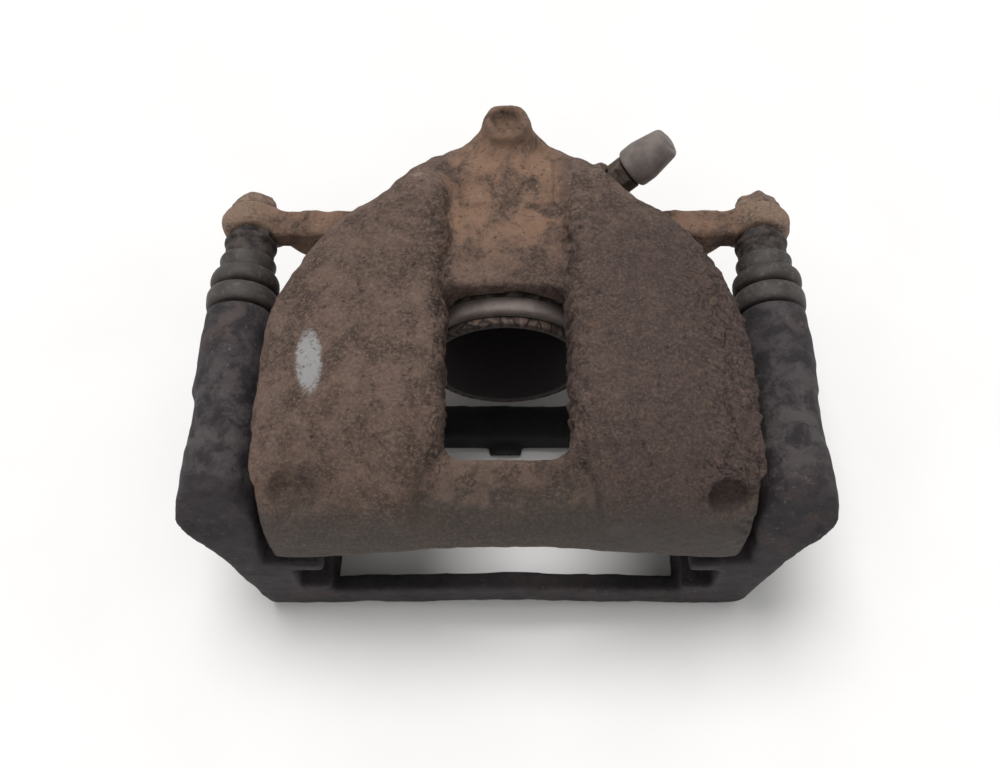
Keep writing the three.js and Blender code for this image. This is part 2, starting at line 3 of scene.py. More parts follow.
import bpy
import numpy as np
from mathutils import Euler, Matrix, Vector


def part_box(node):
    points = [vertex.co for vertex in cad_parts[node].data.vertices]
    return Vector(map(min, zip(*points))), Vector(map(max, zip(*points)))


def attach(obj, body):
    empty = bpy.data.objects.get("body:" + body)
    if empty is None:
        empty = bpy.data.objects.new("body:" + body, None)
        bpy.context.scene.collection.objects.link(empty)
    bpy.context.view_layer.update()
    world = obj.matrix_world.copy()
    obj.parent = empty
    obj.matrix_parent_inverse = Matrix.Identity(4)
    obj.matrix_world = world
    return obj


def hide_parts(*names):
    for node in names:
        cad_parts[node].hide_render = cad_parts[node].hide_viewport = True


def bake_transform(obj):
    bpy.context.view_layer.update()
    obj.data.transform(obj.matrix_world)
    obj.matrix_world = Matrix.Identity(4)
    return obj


bl_info = {
    "name": "Brake Caliper",
    "version": (1, 0, 0),
    "blender": (4, 5, 0),
    "location": "3D View > Sidebar > Caliper",
    "description": "Single-piston sliding brake caliper with its carrier bracket",
    "category": "Add Mesh",
}

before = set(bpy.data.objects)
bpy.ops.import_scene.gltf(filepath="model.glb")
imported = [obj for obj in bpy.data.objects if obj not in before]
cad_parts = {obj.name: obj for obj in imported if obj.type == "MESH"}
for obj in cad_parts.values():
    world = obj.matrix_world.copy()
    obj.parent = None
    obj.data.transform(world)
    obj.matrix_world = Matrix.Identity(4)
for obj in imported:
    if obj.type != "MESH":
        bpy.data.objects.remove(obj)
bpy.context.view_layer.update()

# Lengths below are in millimetres. Y runs from the piston's rim at rest, X and Z from its axis.
MM = 0.001
_low, _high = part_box("piston")
RIM = np.array([(_low[0] + _high[0]) / 2, _low[1], (_low[2] + _high[2]) / 2]) / MM
SIDES = (("left", -1), ("right", 1))
HUB_DROP, DISC_ROOM = 105, 133           # disc's axis below the piston's, and the room for its edge
DISC_FRONT, DISC_REAR = -39, -10         # the disc's slot in the carrier
THREAD_ROOM = 4.35                       # hole for a guide bolt or the bleeder
ABUTMENT = 57                            # from the middle to the faces that the pads slide on
LUG_X, LUG_RADIUS, LUG_HOLE = 69.5, 12.5, 6
PISTON_WALL = 2.8
ARCH_RADIUS, ARCH_TOP = 260, 3.4         # underside of the finger
ARM_WALL = 73.9                          # side of the bridge, clear of the carrier's arms
HOSE_X, HOSE_Z = -14, 10
BOSS_Y = 66
THREAD_PITCH = 1.25
FLOOR_HALF = 1600.0
LIGHT_DIRECTION = (0.14, -0.34, -1)


# ---- Fields ---------------------------------------------------------------------------------------
# A field is an array that holds, at each point of a grid, the distance to a surface in millimetres,
# negative inside the metal.
def grid(low, high, pitch):
    """Three broadcasting arrays of evenly spaced x, y and z from low to high."""
    axes = [np.arange(a, b + pitch, pitch, dtype=np.float32) for a, b in zip(low, high)]
    return np.meshgrid(*axes, indexing="ij", sparse=True)


def rounded(corners, steps=5):
    """Closed outline from (u, v, radius) corners: each is cut back by its radius along both sides, a and
    c, and filled with the curve (1-t)^2 a + 2t(1-t) b + t^2 c."""
    corners = np.array(corners, float)
    points = corners[:, :2]
    before, after = np.roll(points, 1, 0), np.roll(points, -1, 0)
    t = np.linspace(0, 1, steps)[None, :, None]

    def towards(others):
        span = others - points
        length = np.maximum(np.linalg.norm(span, axis=1), 1e-6)
        return points + span * (np.minimum(corners[:, 2], 0.49 * length) / length)[:, None]

    a, b, c = towards(before)[:, None], points[:, None], towards(after)[:, None]
    curve = ((1 - t) ** 2 * a + 2 * t * (1 - t) * b + t**2 * c).reshape(-1, 2)
    return curve[np.linalg.norm(curve - np.roll(curve, 1, 0), axis=1) > 1e-4]


def mirrored(half):
    """Outline symmetric about u = 0, from its positive half given from bottom to top."""
    return list(half) + [(-u, v, r) for u, v, r in reversed(half) if u > 0]


def outline_field(points, u, v):
    """Least distance to the sides of a closed outline, with the sign turned where a ray along u meets
    an odd number of sides."""
    shape = np.broadcast(u, v).shape
    nearest = np.full(shape, 1e9, np.float32)
    inside = np.zeros(shape, bool)
    for (au, av), (bu, bv) in zip(points, np.roll(points, -1, 0)):
        du, dv = bu - au, bv - av
        t = np.clip(((u - au) * du + (v - av) * dv) / (du * du + dv * dv), 0, 1)
        nearest = np.minimum(nearest, (u - au - t * du) ** 2 + (v - av - t * dv) ** 2)
        if abs(dv) > 1e-9:
            inside ^= ((av > v) != (bv > v)) & (u < du * (v - av) / dv + au)
    return np.where(inside, -1, 1) * np.sqrt(nearest)


def meet(a, b, radius=0.0):
    """Where two solids overlap, its edge rounded: inside, the greater distance; past the edge, the
    length of the two distances from the round's centre."""
    if np.max(radius) <= 0:
        return np.maximum(a, b)
    return np.minimum(np.maximum(a, b), -radius) + np.hypot(
        np.maximum(a + radius, 0), np.maximum(b + radius, 0))


def join(a, b, radius=0.0):
    """Two solids as one, the corner between them filled with a round."""
    return -meet(-a, -b, radius)


def cut(a, b, radius=0.0):
    """The first solid without the second, its new edge rounded."""
    return meet(a, -b, radius)


def slab(value, low, high):
    return np.maximum(low - value, value - high)


def rod(u, v, radius):
    return np.hypot(u, v) - radius


def peg(away, radius, along, low, high, soft=0.0):
    """Round bar from low to high, its end edges rounded; `away` is the distance from its axis."""
    return meet(away - radius, slab(along, low, high), soft)


def hexagon(u, v, across):
    """Greatest of three pairs of flats, at 0, 60 and 120 degrees."""
    angles = np.radians([0, 60, 120])
    return np.maximum.reduce([np.abs(u * np.cos(a) + v * np.sin(a)) for a in angles]) - across / 2


def block(x, y, z, low, high, radius):
    """Box whose edges are rounded: distance past the box shrunk by the radius, less the radius."""
    parts = [np.abs(w - (a + b) / 2) - (b - a) / 2 + radius for w, a, b in zip((x, y, z), low, high)]
    outside = np.sqrt(sum(np.maximum(p, 0) ** 2 for p in parts))
    return outside + np.minimum(np.maximum(np.maximum(parts[0], parts[1]), parts[2]), 0) - radius


# Odd multipliers that scatter the bits of a cell's number.
HASH_AXES, HASH_SEED = np.array([73856093, 19349663, 83492791]), 2654435761
HASH_ROUNDS, HASH_BITS = ((15, 2246822519), (13, 3266489917)), 0xFFFFFFFF
CORNERS = np.array([(i, j, k) for i in (0, 1) for j in (0, 1) for k in (0, 1)])


def lumps(points, size, seed):
    """Smooth random heights from -1 to 1: hashed values at the corners of cells of the given size,
    blended by t*t*(3-2t) between them."""
    place = points / size
    cell = np.floor(place).astype(np.int64)
    t = place - cell
    t = t * t * (3 - 2 * t)
    total = np.zeros(len(points))
    for corner in CORNERS:
        a, b, c = ((cell + corner) * HASH_AXES).T
        mixed = (a ^ b ^ c ^ seed * HASH_SEED) & HASH_BITS
        for shift, factor in HASH_ROUNDS:
            mixed = (mixed ^ (mixed >> shift)) * factor & HASH_BITS
        value = ((mixed ^ (mixed >> 16)) & 0xFFFF) / 32767.5 - 1
        total += np.prod(np.where(corner, t, 1 - t), axis=1) * value
    return total


def ease(value, low, high):
    """0 below low, 1 above high, t*t*(3-2t) between."""
    t = np.clip((value - low) / (high - low), 0, 1)
    return t * t * (3 - 2 * t)


def sampled(field, place):
    """Value of a field at places given in grid steps, blended from the eight corners round each."""
    place = np.clip(place, 0, np.array(field.shape) - 1.001)
    cell = np.floor(place).astype(int)
    t = place - cell
    total = 0
    for corner in CORNERS:
        weight = np.prod(np.where(corner, t, 1 - t), axis=1)
        total = total + weight * field[tuple((cell + corner).T)]
    return total


def contoured(field):
    """Quads of the surface where a field is zero. Each cell that the surface crosses has one point, the
    mean of the crossings on its edges, and each grid step that it crosses has one quad."""
    inside = field < 0
    ends = np.array(field.shape) - 1
    count = sum(inside[tuple(slice(c, c + n) for c, n in zip(corner, ends))].astype(np.int8)
                for corner in CORNERS)
    active = (count > 0) & (count < 8)
    index = np.full(active.shape, -1)
    index[active] = np.arange(active.sum())
    cell = np.argwhere(active)
    total, hits = np.zeros(cell.shape), np.zeros(len(cell))
    for a in CORNERS:
        for axis in np.flatnonzero(a == 0):
            b = a.copy()
            b[axis] = 1
            fa, fb = field[tuple((cell + a).T)], field[tuple((cell + b).T)]
            crossed = (fa < 0) != (fb < 0)
            t = np.where(crossed, fa / np.where(crossed, fa - fb, 1), 0)
            total += crossed[:, None] * (a + t[:, None] * (b - a))
            hits += crossed
    points = cell + total / hits[:, None]
    quads = []
    for step, first, second in (np.roll(np.eye(3, dtype=int), -axis, 0) for axis in range(3)):
        lower = inside[tuple(slice(0, n) if s else slice(None) for n, s in zip(ends, step))]
        upper = inside[tuple(slice(1, None) if s else slice(None) for s in step)]
        at = np.argwhere(lower != upper)
        across = np.flatnonzero(step == 0)
        at = at[((at[:, across] > 0) & (at[:, across] < ends[across])).all(1)]
        ring = np.stack([index[tuple((at - shift).T)]
                         for shift in (first + second, second, 0 * first, first)], axis=1)
        outwards = lower[tuple(at.T)]
        quads.append(np.where(outwards[:, None], ring, ring[:, ::-1]))
    return points, np.concatenate(quads)


def sculpted(name, build, low, high, pitch, crust=None, place=None):
    """Object whose surface is where build(x, y, z) is zero. Its points slide down the field's slope onto
    the surface, and then crust(points, slope) raises them along it. Two attributes say how far each
    point lies in a hollow or on an edge: what is missing from the distance `reach` out, and in."""
    low = np.array(low, float)
    field = np.ascontiguousarray(build(*grid(low, high, pitch)), np.float32)
    points, quads = contoured(field)
    slopes = [g / pitch for g in np.gradient(field)]
    for _ in range(3):
        value = sampled(field, points)
        slope = np.stack([sampled(g, points) for g in slopes], axis=1)
        shift = slope * (value / np.maximum((slope**2).sum(1), 0.1))[:, None]
        points = points - np.clip(shift, -0.3 * pitch, 0.3 * pitch) / pitch
    slope = np.stack([sampled(g, points) for g in slopes], axis=1)
    slope /= np.maximum(np.linalg.norm(slope, axis=1), 1e-6)[:, None]
    reach = 3.5
    out = sampled(field, points + slope * reach / pitch)
    within = sampled(field, points - slope * reach / pitch)
    marks = {"hollow": np.clip(1 - out / reach, 0, 1), "edge": np.clip(1 + within / reach, 0, 1)}
    points = low + points * pitch
    if crust:
        height = crust(points, slope)
        points = points + slope * height[:, None]
        marks["crust"] = height
    if place:
        points = place(points)
    return meshed(name, points, quads, marks)


def meshed(name, points, faces, marks=None):
    """Object from points in millimetres from the piston's rim, and faces that look outwards."""
    mesh = bpy.data.meshes.new(name)
    mesh.from_pydata(((points + RIM) * MM).tolist(), [], [list(f) for f in faces.tolist()]
                     if isinstance(faces, np.ndarray) else faces)
    mesh.update()
    mesh.shade_smooth()
    for mark, values in (marks or {}).items():
        mesh.attributes.new(mark, "FLOAT", "POINT").data.foreach_set(
            "value", np.ascontiguousarray(values, np.float32))
    piece = bpy.data.objects.new(name, mesh)
    bpy.context.scene.collection.objects.link(piece)
    return piece


def turned(name, profile, centre, along=(0, 1, 0), sides=96, wave=None):
    """A closed profile of (radius, distance) carried once round an axis: the point at turn a is centre +
    along*distance + radius*(across*cos a + beyond*sin a). wave(points, turn) may add to the radius."""
    profile = np.array(profile, float)
    following = np.roll(profile, -1, 0)
    if (profile[:, 0] * following[:, 1] - following[:, 0] * profile[:, 1]).sum() < 0:
        profile = profile[::-1]
    along = np.array(along, float)
    along /= np.linalg.norm(along)
    across = np.cross(along, (0, 0, 1) if abs(along[2]) < 0.9 else (1, 0, 0))
    across /= np.linalg.norm(across)
    beyond = np.cross(along, across)
    turn = np.linspace(0, 2 * np.pi, sides, endpoint=False)[None, :, None]
    radius = profile[:, 0][:, None, None] + np.zeros_like(turn)
    if wave:
        radius = radius + np.where(radius > 0.01, wave(profile[:, 1][:, None, None], turn), 0)
    points = (np.array(centre, float) + along * profile[:, 1][:, None, None]
              + radius * (across * np.cos(turn) + beyond * np.sin(turn)))
    rows, columns = len(profile), sides
    index = np.arange(rows * columns).reshape(rows, columns)
    index = np.where(profile[:, :1] < 1e-6, index[:, :1], index)
    a, b = index, np.roll(index, -1, 1)
    c, d = np.roll(b, -1, 0), np.roll(a, -1, 0)
    quads = np.stack([a, d, c, b], axis=2).reshape(-1, 4)
    faces = [list(dict.fromkeys(q)) for q in quads.tolist()]
    faces = [f for f in faces if len(f) > 2]
    used = np.unique(np.concatenate([np.array(f) for f in faces]))
    renumber = np.full(rows * columns, -1)
    renumber[used] = np.arange(len(used))
    return meshed(name, points.reshape(-1, 3)[used], [renumber[f].tolist() for f in faces])


# ---- Shader arithmetic ----------------------------------------------------------------------------
class Value:
    """A shader socket on which arithmetic adds Math nodes."""

    def __init__(self, finish, socket):
        self.finish, self.socket = finish, socket

    def _math(self, operation, a, b):
        return self.finish.node("ShaderNodeMath", {"operation": operation}, {0: a, 1: b})

    def __add__(self, other):
        return self._math("ADD", self, other)

    def __sub__(self, other):
        return self._math("SUBTRACT", self, other)

    def __rsub__(self, other):
        return self._math("SUBTRACT", other, self)

    def __mul__(self, other):
        return self._math("MULTIPLY", self, other)

    def __abs__(self):
        return self._math("ABSOLUTE", self, 0)

    __radd__, __rmul__ = __add__, __mul__

    def most(self, other):
        return self._math("MAXIMUM", self, other)

    def ease(self, low, high):
        """0 at low, 1 at high, smooth between; high may be the smaller of the two."""
        return self.finish.node("ShaderNodeMapRange", {"interpolation_type": "SMOOTHSTEP"},
                                {"Value": self, "From Min": low, "From Max": high})


class Finish:
    """A material in the making: its nodes, patterns on the piece's own coordinates, and its sockets."""

    def __init__(self, name):
        self.material = bpy.data.materials.new(name)
        self.material.use_nodes = True
        self.tree = self.material.node_tree
        self.shader = self.tree.nodes["Principled BSDF"]
        self.place = self.node("ShaderNodeTexCoord", output="Object")
        split = self.node("ShaderNodeSeparateXYZ", inputs={0: self.place})
        outputs = split.socket.node.outputs
        x, y, z = (Value(self, outputs[i]) for i in range(3))
        self.x = (x - float(RIM[0] * MM)) * (1 / MM)
        self.y = (y - float(RIM[1] * MM)) * (1 / MM)
        self.z = (z - float(RIM[2] * MM)) * (1 / MM)

    def node(self, kind, settings=None, inputs=None, output=0):
        """Adds a node: its settings first, then its sockets' values or links; gives one output."""
        node = self.tree.nodes.new(kind)
        for key, value in (settings or {}).items():
            setattr(node, key, value)
        for key, value in (inputs or {}).items():
            self.feed(node.inputs[key], value)
        return Value(self, node.outputs[output])

    def feed(self, socket, value):
        if isinstance(value, Value):
            self.tree.links.new(value.socket, socket)
        elif socket.type == "RGBA":
            socket.default_value = (*tuple(value)[:3], 1)
        else:
            socket.default_value = value

    def set(self, **sockets):
        """Feeds the surface's own sockets, named with _ for a space."""
        for key, value in sockets.items():
            self.feed(self.shader.inputs[key.replace("_", " ")], value)

    def noise(self, size, detail=4, roughness=0.55, distortion=0.0, offset=0):
        """Cloudy pattern whose largest spots are `size` millimetres across, about 0.3 to 0.7."""
        place = self.place
        if offset:
            place = self.node("ShaderNodeVectorMath", {"operation": "ADD"},
                              {0: place, 1: (offset * MM, -offset * MM, offset * MM)})
        return self.node("ShaderNodeTexNoise", None, {
            "Vector": place, "Scale": 1 / (size * MM), "Detail": detail,
            "Roughness": roughness, "Distortion": distortion})

    def cells(self, size, feature="F1"):
        """Distance pattern of scattered cells about `size` millimetres across."""
        return self.node("ShaderNodeTexVoronoi", {"feature": feature},
                         {"Vector": self.place, "Scale": 1 / (size * MM)})

    def mark(self, name):
        return self.node("ShaderNodeAttribute", {"attribute_name": name}, output="Fac")

    def mix(self, factor, a, b):
        """Colour a turned into colour b by a factor."""
        return self.node("ShaderNodeMix", {"data_type": "RGBA"}, {0: factor, 6: a, 7: b}, output=2)

    def coat(self, factor, colour):
        """Lays a colour over the base colour so far, by a factor."""
        self.base = self.mix(factor, self.base, colour)

    def bump(self, height, depth, normal=None):
        """Normal from a height pattern whose full range stands `depth` millimetres high."""
        inputs = {"Height": height, "Distance": depth * MM}
        if normal:
            inputs["Normal"] = normal
        return self.node("ShaderNodeBump", inputs=inputs, output="Normal")


def tint(code):
    """Linear colour from a six-digit screen colour: ((c+0.055)/1.055)^2.4 above 0.04."""
    parts = [int(code[i:i + 2], 16) / 255 for i in (0, 2, 4)]
    return tuple(p / 12.92 if p <= 0.04045 else ((p + 0.055) / 1.055) ** 2.4 for p in parts)


def toned(shade, amount):
    return [part * amount for part in shade]


def dress(piece, finish):
    piece.data.materials.clear()
    piece.data.materials.append(finish.material)


# ---- Properties -----------------------------------------------------------------------------------
def length(name, description, millimetres):
    return bpy.props.FloatProperty(name=name, description=description, default=millimetres * MM,
                                   unit="LENGTH", subtype="DISTANCE", precision=5)


def angle(name, description, degrees):
    return bpy.props.FloatProperty(name=name, description=description, default=np.radians(degrees),
                                   subtype="ANGLE", unit="ROTATION")


def colour(name, description, code):
    return bpy.props.FloatVectorProperty(name=name, description=description, subtype="COLOR",
                                         size=3, min=0, max=1, default=tint(code))


def in_mm(group):
    """A group's lengths in millimetres, and its other values as they are."""
    values = {}
    for key in group.__annotations__:
        value = getattr(group, key)
        is_length = group.bl_rna.properties[key].unit == "LENGTH"
        values[key] = value / MM if is_length else value
    return SimpleNamespace(**values)


class HousingSizes(bpy.types.PropertyGroup):
    pitch: length("Detail", "Distance between the points of the casting's surface", 1.0)
    top: length("Bridge top", "Height of the bridge above the piston's axis", 46)
    half_width: length("Half width", "From the middle to the edge of the bridge", 75)
    valley_width: length("Valley half width", "Half the width of the floor between the humps", 17.5)
    valley_depth: length("Valley depth", "How far the floor lies below the humps", 8.5)
    window_half: length("Window half width", "Half the width of the opening in the bridge", 18.2)
    window_front: length("Window front", "Wheel side edge of the opening", -47.2)
    window_rear: length("Window rear", "Cylinder side edge of the opening", 7)
    boss_radius: length("Top boss radius", "Round boss behind the bridge", 7.5)
    bore_radius: length("Bore radius", "Bore that the piston slides in", 27.35)
    pocket_radius: length("Boot pocket radius", "Recess that holds the dust boot", 31.9)
    ear_end: length("Ear end", "From the middle to the end of each ear", 96.5)
    rust: length("Rust height", "How far the rust stands up in lumps", 0.42)


class CarrierSizes(bpy.types.PropertyGroup):
    pitch: length("Detail", "Distance between the points of the bracket's surface", 1.05)
    half_width: length("Half width", "From the middle to the outside of the arms", 97)
    pin_x: length("Guide bore offset", "From the middle to each guide bore", 86)
    pin_z: length("Guide bore height", "Guide bores above the piston's axis", 15)
    arm_radius: length("Guide boss radius", "Round of each guide boss", 10.8)
    bore_radius: length("Guide bore radius", "Bore that the pin slides in", 6.15)
    tie_height: length("Tie bar height", "Height of the bar under the finger", 14)
    tie_thickness: length("Tie bar thickness", "Thickness of the bar under the finger", 6.5)
    rust: length("Rust height", "How far the rust stands up in lumps", 0.5)


class GuideSizes(bpy.types.PropertyGroup):
    pin_radius: length("Pin radius", "Radius of the guide pins", 5.8)
    bolt_across: length("Bolt head across", "Width across the flats of the bolt heads", 13)
    boot_fold: length("Boot fold radius", "Radius of the boot's folds", 11.3)
    boot_root: length("Boot root radius", "Radius between the folds", 9.1)
    boot_collar: length("Boot collar radius", "Radius of the collar that grips the pin", 9.2)
    boot_wall: length("Boot wall", "Thickness of the rubber", 1.1)


class BleederSizes(bpy.types.PropertyGroup):
    thread: length("Thread radius", "Radius of the screw's thread", 4)
    across: length("Hexagon across", "Width across the hexagon's flats", 10)
    cap_base: length("Cap base radius", "Radius of the cap's open end", 6.6)
    cap_tip: length("Cap tip radius", "Radius of the cap's closed end", 5)


class IronColours(bpy.types.PropertyGroup):
    brown: colour("Brown rust", "Rust over most of the housing", "5e4d45")
    sand: colour("Sandy rust", "Light grains in the rust", "8a7566")
    # Dark grains and pits, and also the colour of the painted shade in the housing's hollows and dish
    pit_and_shade: colour("Pits", "Dark grains and pits in the rust", "2c2321")
    orange: colour("Orange rust", "Fresh rust in the valley and on the ears", "7a5f4d")
    plum: colour("Plum scale", "Older scale on the smoother hump", "574845")
    olive: colour("Finger face", "Greasy grime on the finger", "3b3631")
    carrier: colour("Carrier", "Remains of black paint on the bracket", "373134")
    carrier_light: colour("Carrier scuffs", "Bare, rubbed spots on the bracket", "736c69")
    paint: colour("Paint dab", "Plain pale touch of paint", "c9cacb")


class RubberColours(bpy.types.PropertyGroup):
    boot: colour("Boot rubber", "Dusty rubber of the guide boots", "3f3a37")
    dust: colour("Dust", "Brake dust in the folds", "71685f")
    inner_boot: colour("Dust boot rubber", "Pale dusty rubber round the piston", "7d726d")
    cap: colour("Cap rubber", "Rubber cap of the bleeder", "746a65")
    seal: colour("Seal rubber", "Seal in the cylinder", "1c1b1a")


class StudioSettings(bpy.types.PropertyGroup):
    distance: length("Camera distance", "From the piston's rim to the camera", 333)
    tilt: angle("Camera tilt", "Turn of the camera from looking down", 28)
    lens: bpy.props.FloatProperty(name="Focal length", description="Lens of the camera in millimetres",
                                  default=36, unit="CAMERA")
    key: bpy.props.FloatProperty(name="Key light", description="Strength of the key light", default=2.1)
    softness: angle("Key softness", "Angle that the key light fills", 34)
    sky: bpy.props.FloatProperty(name="Surroundings", description="Strength of the even light",
                                 default=0.5)


# ---- Finishes -------------------------------------------------------------------------------------
def housing_finish(c):
    """Rusted cast iron: brown scale with sandy grains, fresh rust in the valley and on the ears, smoother
    scale on one hump, grime on the finger, and one plain dab of paint; painted shade in the hollows and
    the boss's dish, and a painted highlight in pale spots on the upper rear."""
    f = Finish("rusted_housing_iron")
    broad = f.noise(34, 5, 0.6, 0.4)
    patch = f.noise(9, 6, 0.62, 0.3, offset=20)
    grain = f.noise(1.0, 6, 0.8, offset=7)
    speck = f.noise(2.6, 7, 0.8, offset=31)
    hollow, edge = f.mark("hollow"), f.mark("edge")
    x, y, z = f.x + (broad - 0.5) * 26, f.y + (patch - 0.5) * 14, f.z + (broad - 0.5) * 14
    f.base = f.mix(patch.ease(0.36, 0.64), toned(c.brown, 0.92), toned(c.brown, 1.95))
    plum = x.ease(-10, 40) * y.ease(50, 20) * 0.8
    f.coat(plum, c.plum)
    fresh = (abs(f.x + (patch - 0.5) * 12).ease(21, 15) * y.ease(8, 34) * z.ease(30, 36)).most(
        abs(f.x).ease(48, 60) * f.y.ease(36, 40) * 0.75)
    f.coat(fresh * patch.ease(0.34, 0.6) * 0.95, toned(c.orange, 2.1))
    spots = f.noise(6, 7, 0.72, 0.6, offset=55).ease(0.56, 0.66)
    f.coat(spots * 0.45, c.orange)
    face = z.ease(30, 17) * y.ease(-49, -55)
    f.coat(face * 0.85, c.olive)
    sandy = (1 - face * 0.75) * (1 - plum * 0.6)
    f.coat(grain.ease(0.46, 0.66) * sandy * 0.85, toned(c.sand, 1.25))
    f.coat(grain.ease(0.46, 0.3) * (1 - face * 0.6) * 0.55, c.pit_and_shade)
    f.coat(speck.ease(0.46, 0.32) * (1 - face * 0.6) * 0.85, c.pit_and_shade)
    f.coat(speck.ease(0.55, 0.7) * sandy * 0.6, toned(c.sand, 1.2))
    # painted highlight: pale pinkish spots over the upper rear of the bridge, whose top faces catch the
    # light
    painted_highlight = f.noise(5, 5, 0.7, offset=61).ease(0.57, 0.66) * y.ease(30, 44)
    f.coat(painted_highlight * 0.6, tint("b39c8c"))
    ends = abs(f.x).ease(76, 82) * f.y.ease(36, 40)
    f.coat(ends * grain.ease(0.34, 0.56) * 0.8, tint("ab927e"))
    # painted shade: the centre of the top boss's dish darkened with the pit colour
    across, back = f.x * f.x, f.y - 66.4
    painted_dish_shade = (across + back * back).ease(26, 12) * f.z.ease(41, 44)
    f.coat(painted_dish_shade * 0.55, c.pit_and_shade)
    # painted shade: hollows darkened towards the pit colour, the deeper the darker
    f.coat(hollow.ease(0.3, 0.9) * 0.35, c.pit_and_shade)
    scaly = (f.x + (broad - 0.5) * 30).ease(50, 64) * f.z.ease(20, 29) * f.y.ease(38, 30)
    scaly = scaly.most(abs(abs(f.x) - 20).ease(4.5, 1.5) * f.y.ease(-56, -48) * f.y.ease(40, 30))
    plates = abs(f.noise(5.5, 5, 0.62, 0.7, offset=90) - 0.5).ease(0.0, 0.035)
    crack = (1 - plates) * scaly * speck.ease(0.66, 0.42)
    f.coat(crack * 0.6, c.pit_and_shade)
    f.coat(edge.ease(0.25, 0.8) * patch.ease(0.4, 0.6) * 0.35, c.sand)
    beside, along = f.x + 59 + f.y * 0.1, f.y + 21
    dab = (beside * beside * 0.06 + along * along * 0.009 + (grain - 0.5) * 2.6 + (speck - 0.5) * 2)
    dab = dab.ease(1.1, 0.6) * f.z.ease(20, 30) * speck.ease(0.36, 0.48)
    f.coat(dab * 0.75, c.paint)
    rough = 0.93 - face * 0.2 - plum * 0.1 - dab * 0.2 + (patch - 0.5) * 0.12
    coarse = f.noise(2.4, 7, 0.74, offset=3)
    flake = f.cells(3.4).ease(0.1, 0.9)
    normal = f.bump(coarse * (1 - face * 0.6), 1.6)
    normal = f.bump(flake * patch.ease(0.4, 0.6), 0.3, normal)
    normal = f.bump(plates * scaly, 0.7, normal)
    normal = f.bump(grain * (1 - face * 0.75), 0.7, normal)
    f.set(Base_Color=f.base, Roughness=rough, Normal=normal, Specular_IOR_Level=0.35)
    return f


def carrier_finish(c):
    """Cast iron with the remains of black paint: purplish black, rubbed and dusty spots, patches of rust,
    and painted shade in hollows and on the low faces behind the tie bar's front.
    """
    f = Finish("painted_carrier_iron")
    broad, patch = f.noise(26, 5, 0.6, 0.5), f.noise(7, 6, 0.65, 0.4, offset=11)
    grain = f.noise(1.1, 6, 0.78, offset=5)
    hollow, edge = f.mark("hollow"), f.mark("edge")
    f.base = f.mix(patch.ease(0.34, 0.66), toned(c.carrier, 0.55), toned(c.carrier, 1.25))
    rust = broad.ease(0.52, 0.64) * patch.ease(0.42, 0.6)
    f.coat(rust * 0.5, toned(c.brown, 0.75))
    scuff = f.noise(1.9, 7, 0.8, 1.2, offset=77).ease(0.56, 0.68) * broad.ease(0.38, 0.56)
    f.coat(scuff * 0.75, c.carrier_light)
    f.coat(grain.ease(0.45, 0.32) * 0.5, tint("171414"))
    f.coat(edge.ease(0.3, 0.8) * patch.ease(0.42, 0.6) * 0.3, c.carrier_light)
    # painted shade: the tie bar's top and the low inboard cross-member darkened almost to black, most in
    # the middle under the housing
    shade = f.z.ease(-24, -33) * (abs(f.x).ease(62, 52) * 0.6 + 0.15) * f.y.ease(-67.4, -65.5)
    f.coat(shade, tint("0c0c0e"))
    # painted shade: hollows darkened towards near-black
    f.coat(hollow.ease(0.2, 0.8) * 0.6, tint("171414"))
    rough = 0.78 + (patch - 0.5) * 0.3 + rust * 0.1
    normal = f.bump(f.noise(3.2, 6, 0.7, offset=41), 0.9)
    normal = f.bump(grain, 0.35, normal)
    f.set(Base_Color=f.base, Roughness=rough, Normal=normal, Specular_IOR_Level=0.4)
    return f


def rusty_steel(name, dark, light, size=2.2, height=0.3, metal=0.25):
    """Steel that has rusted through: two rust tones, pits and a rough skin."""
    f = Finish(name)
    patch, grain = f.noise(size * 2, 6, 0.65, 0.4), f.noise(size * 0.35, 4, 0.65, offset=13)
    f.base = f.mix(patch.ease(0.36, 0.64), dark, light)
    f.coat(grain.ease(0.46, 0.34) * 0.6, toned(dark, 0.35))
    normal = f.bump(f.noise(size, 5, 0.7, offset=3), height)
    normal = f.bump(grain, height * 0.5, normal)
    f.set(Base_Color=f.base, Roughness=0.8 + (patch - 0.5) * 0.25, Normal=normal, Metallic=metal)
    return f


def piston_finish():
    """Plated steel piston with a flaking rusty skirt and a sooty inside."""
    f = Finish("flaked_piston_steel")
    away = f.node("ShaderNodeVectorMath", {"operation": "LENGTH"},
                  {0: f.node("ShaderNodeCombineXYZ", inputs={0: f.x, 2: f.z})}, output=1)
    inside = away.ease(25.6, 24.6)
    flakes = f.cells(5.2, "DISTANCE_TO_EDGE").ease(0.02, 0.12)
    patch = f.noise(3, 6, 0.7, 0.8)
    f.base = f.mix(patch.ease(0.36, 0.66), tint("2b2220"), tint("6b574b"))
    f.coat((1 - flakes) * 0.8, tint("171312"))
    f.coat(inside, tint("454040"))
    normal = f.bump(flakes * patch * (1 - inside), 0.7)
    f.set(Base_Color=f.base, Roughness=0.82 - patch * 0.2, Normal=normal, Metallic=0.15)
    return f


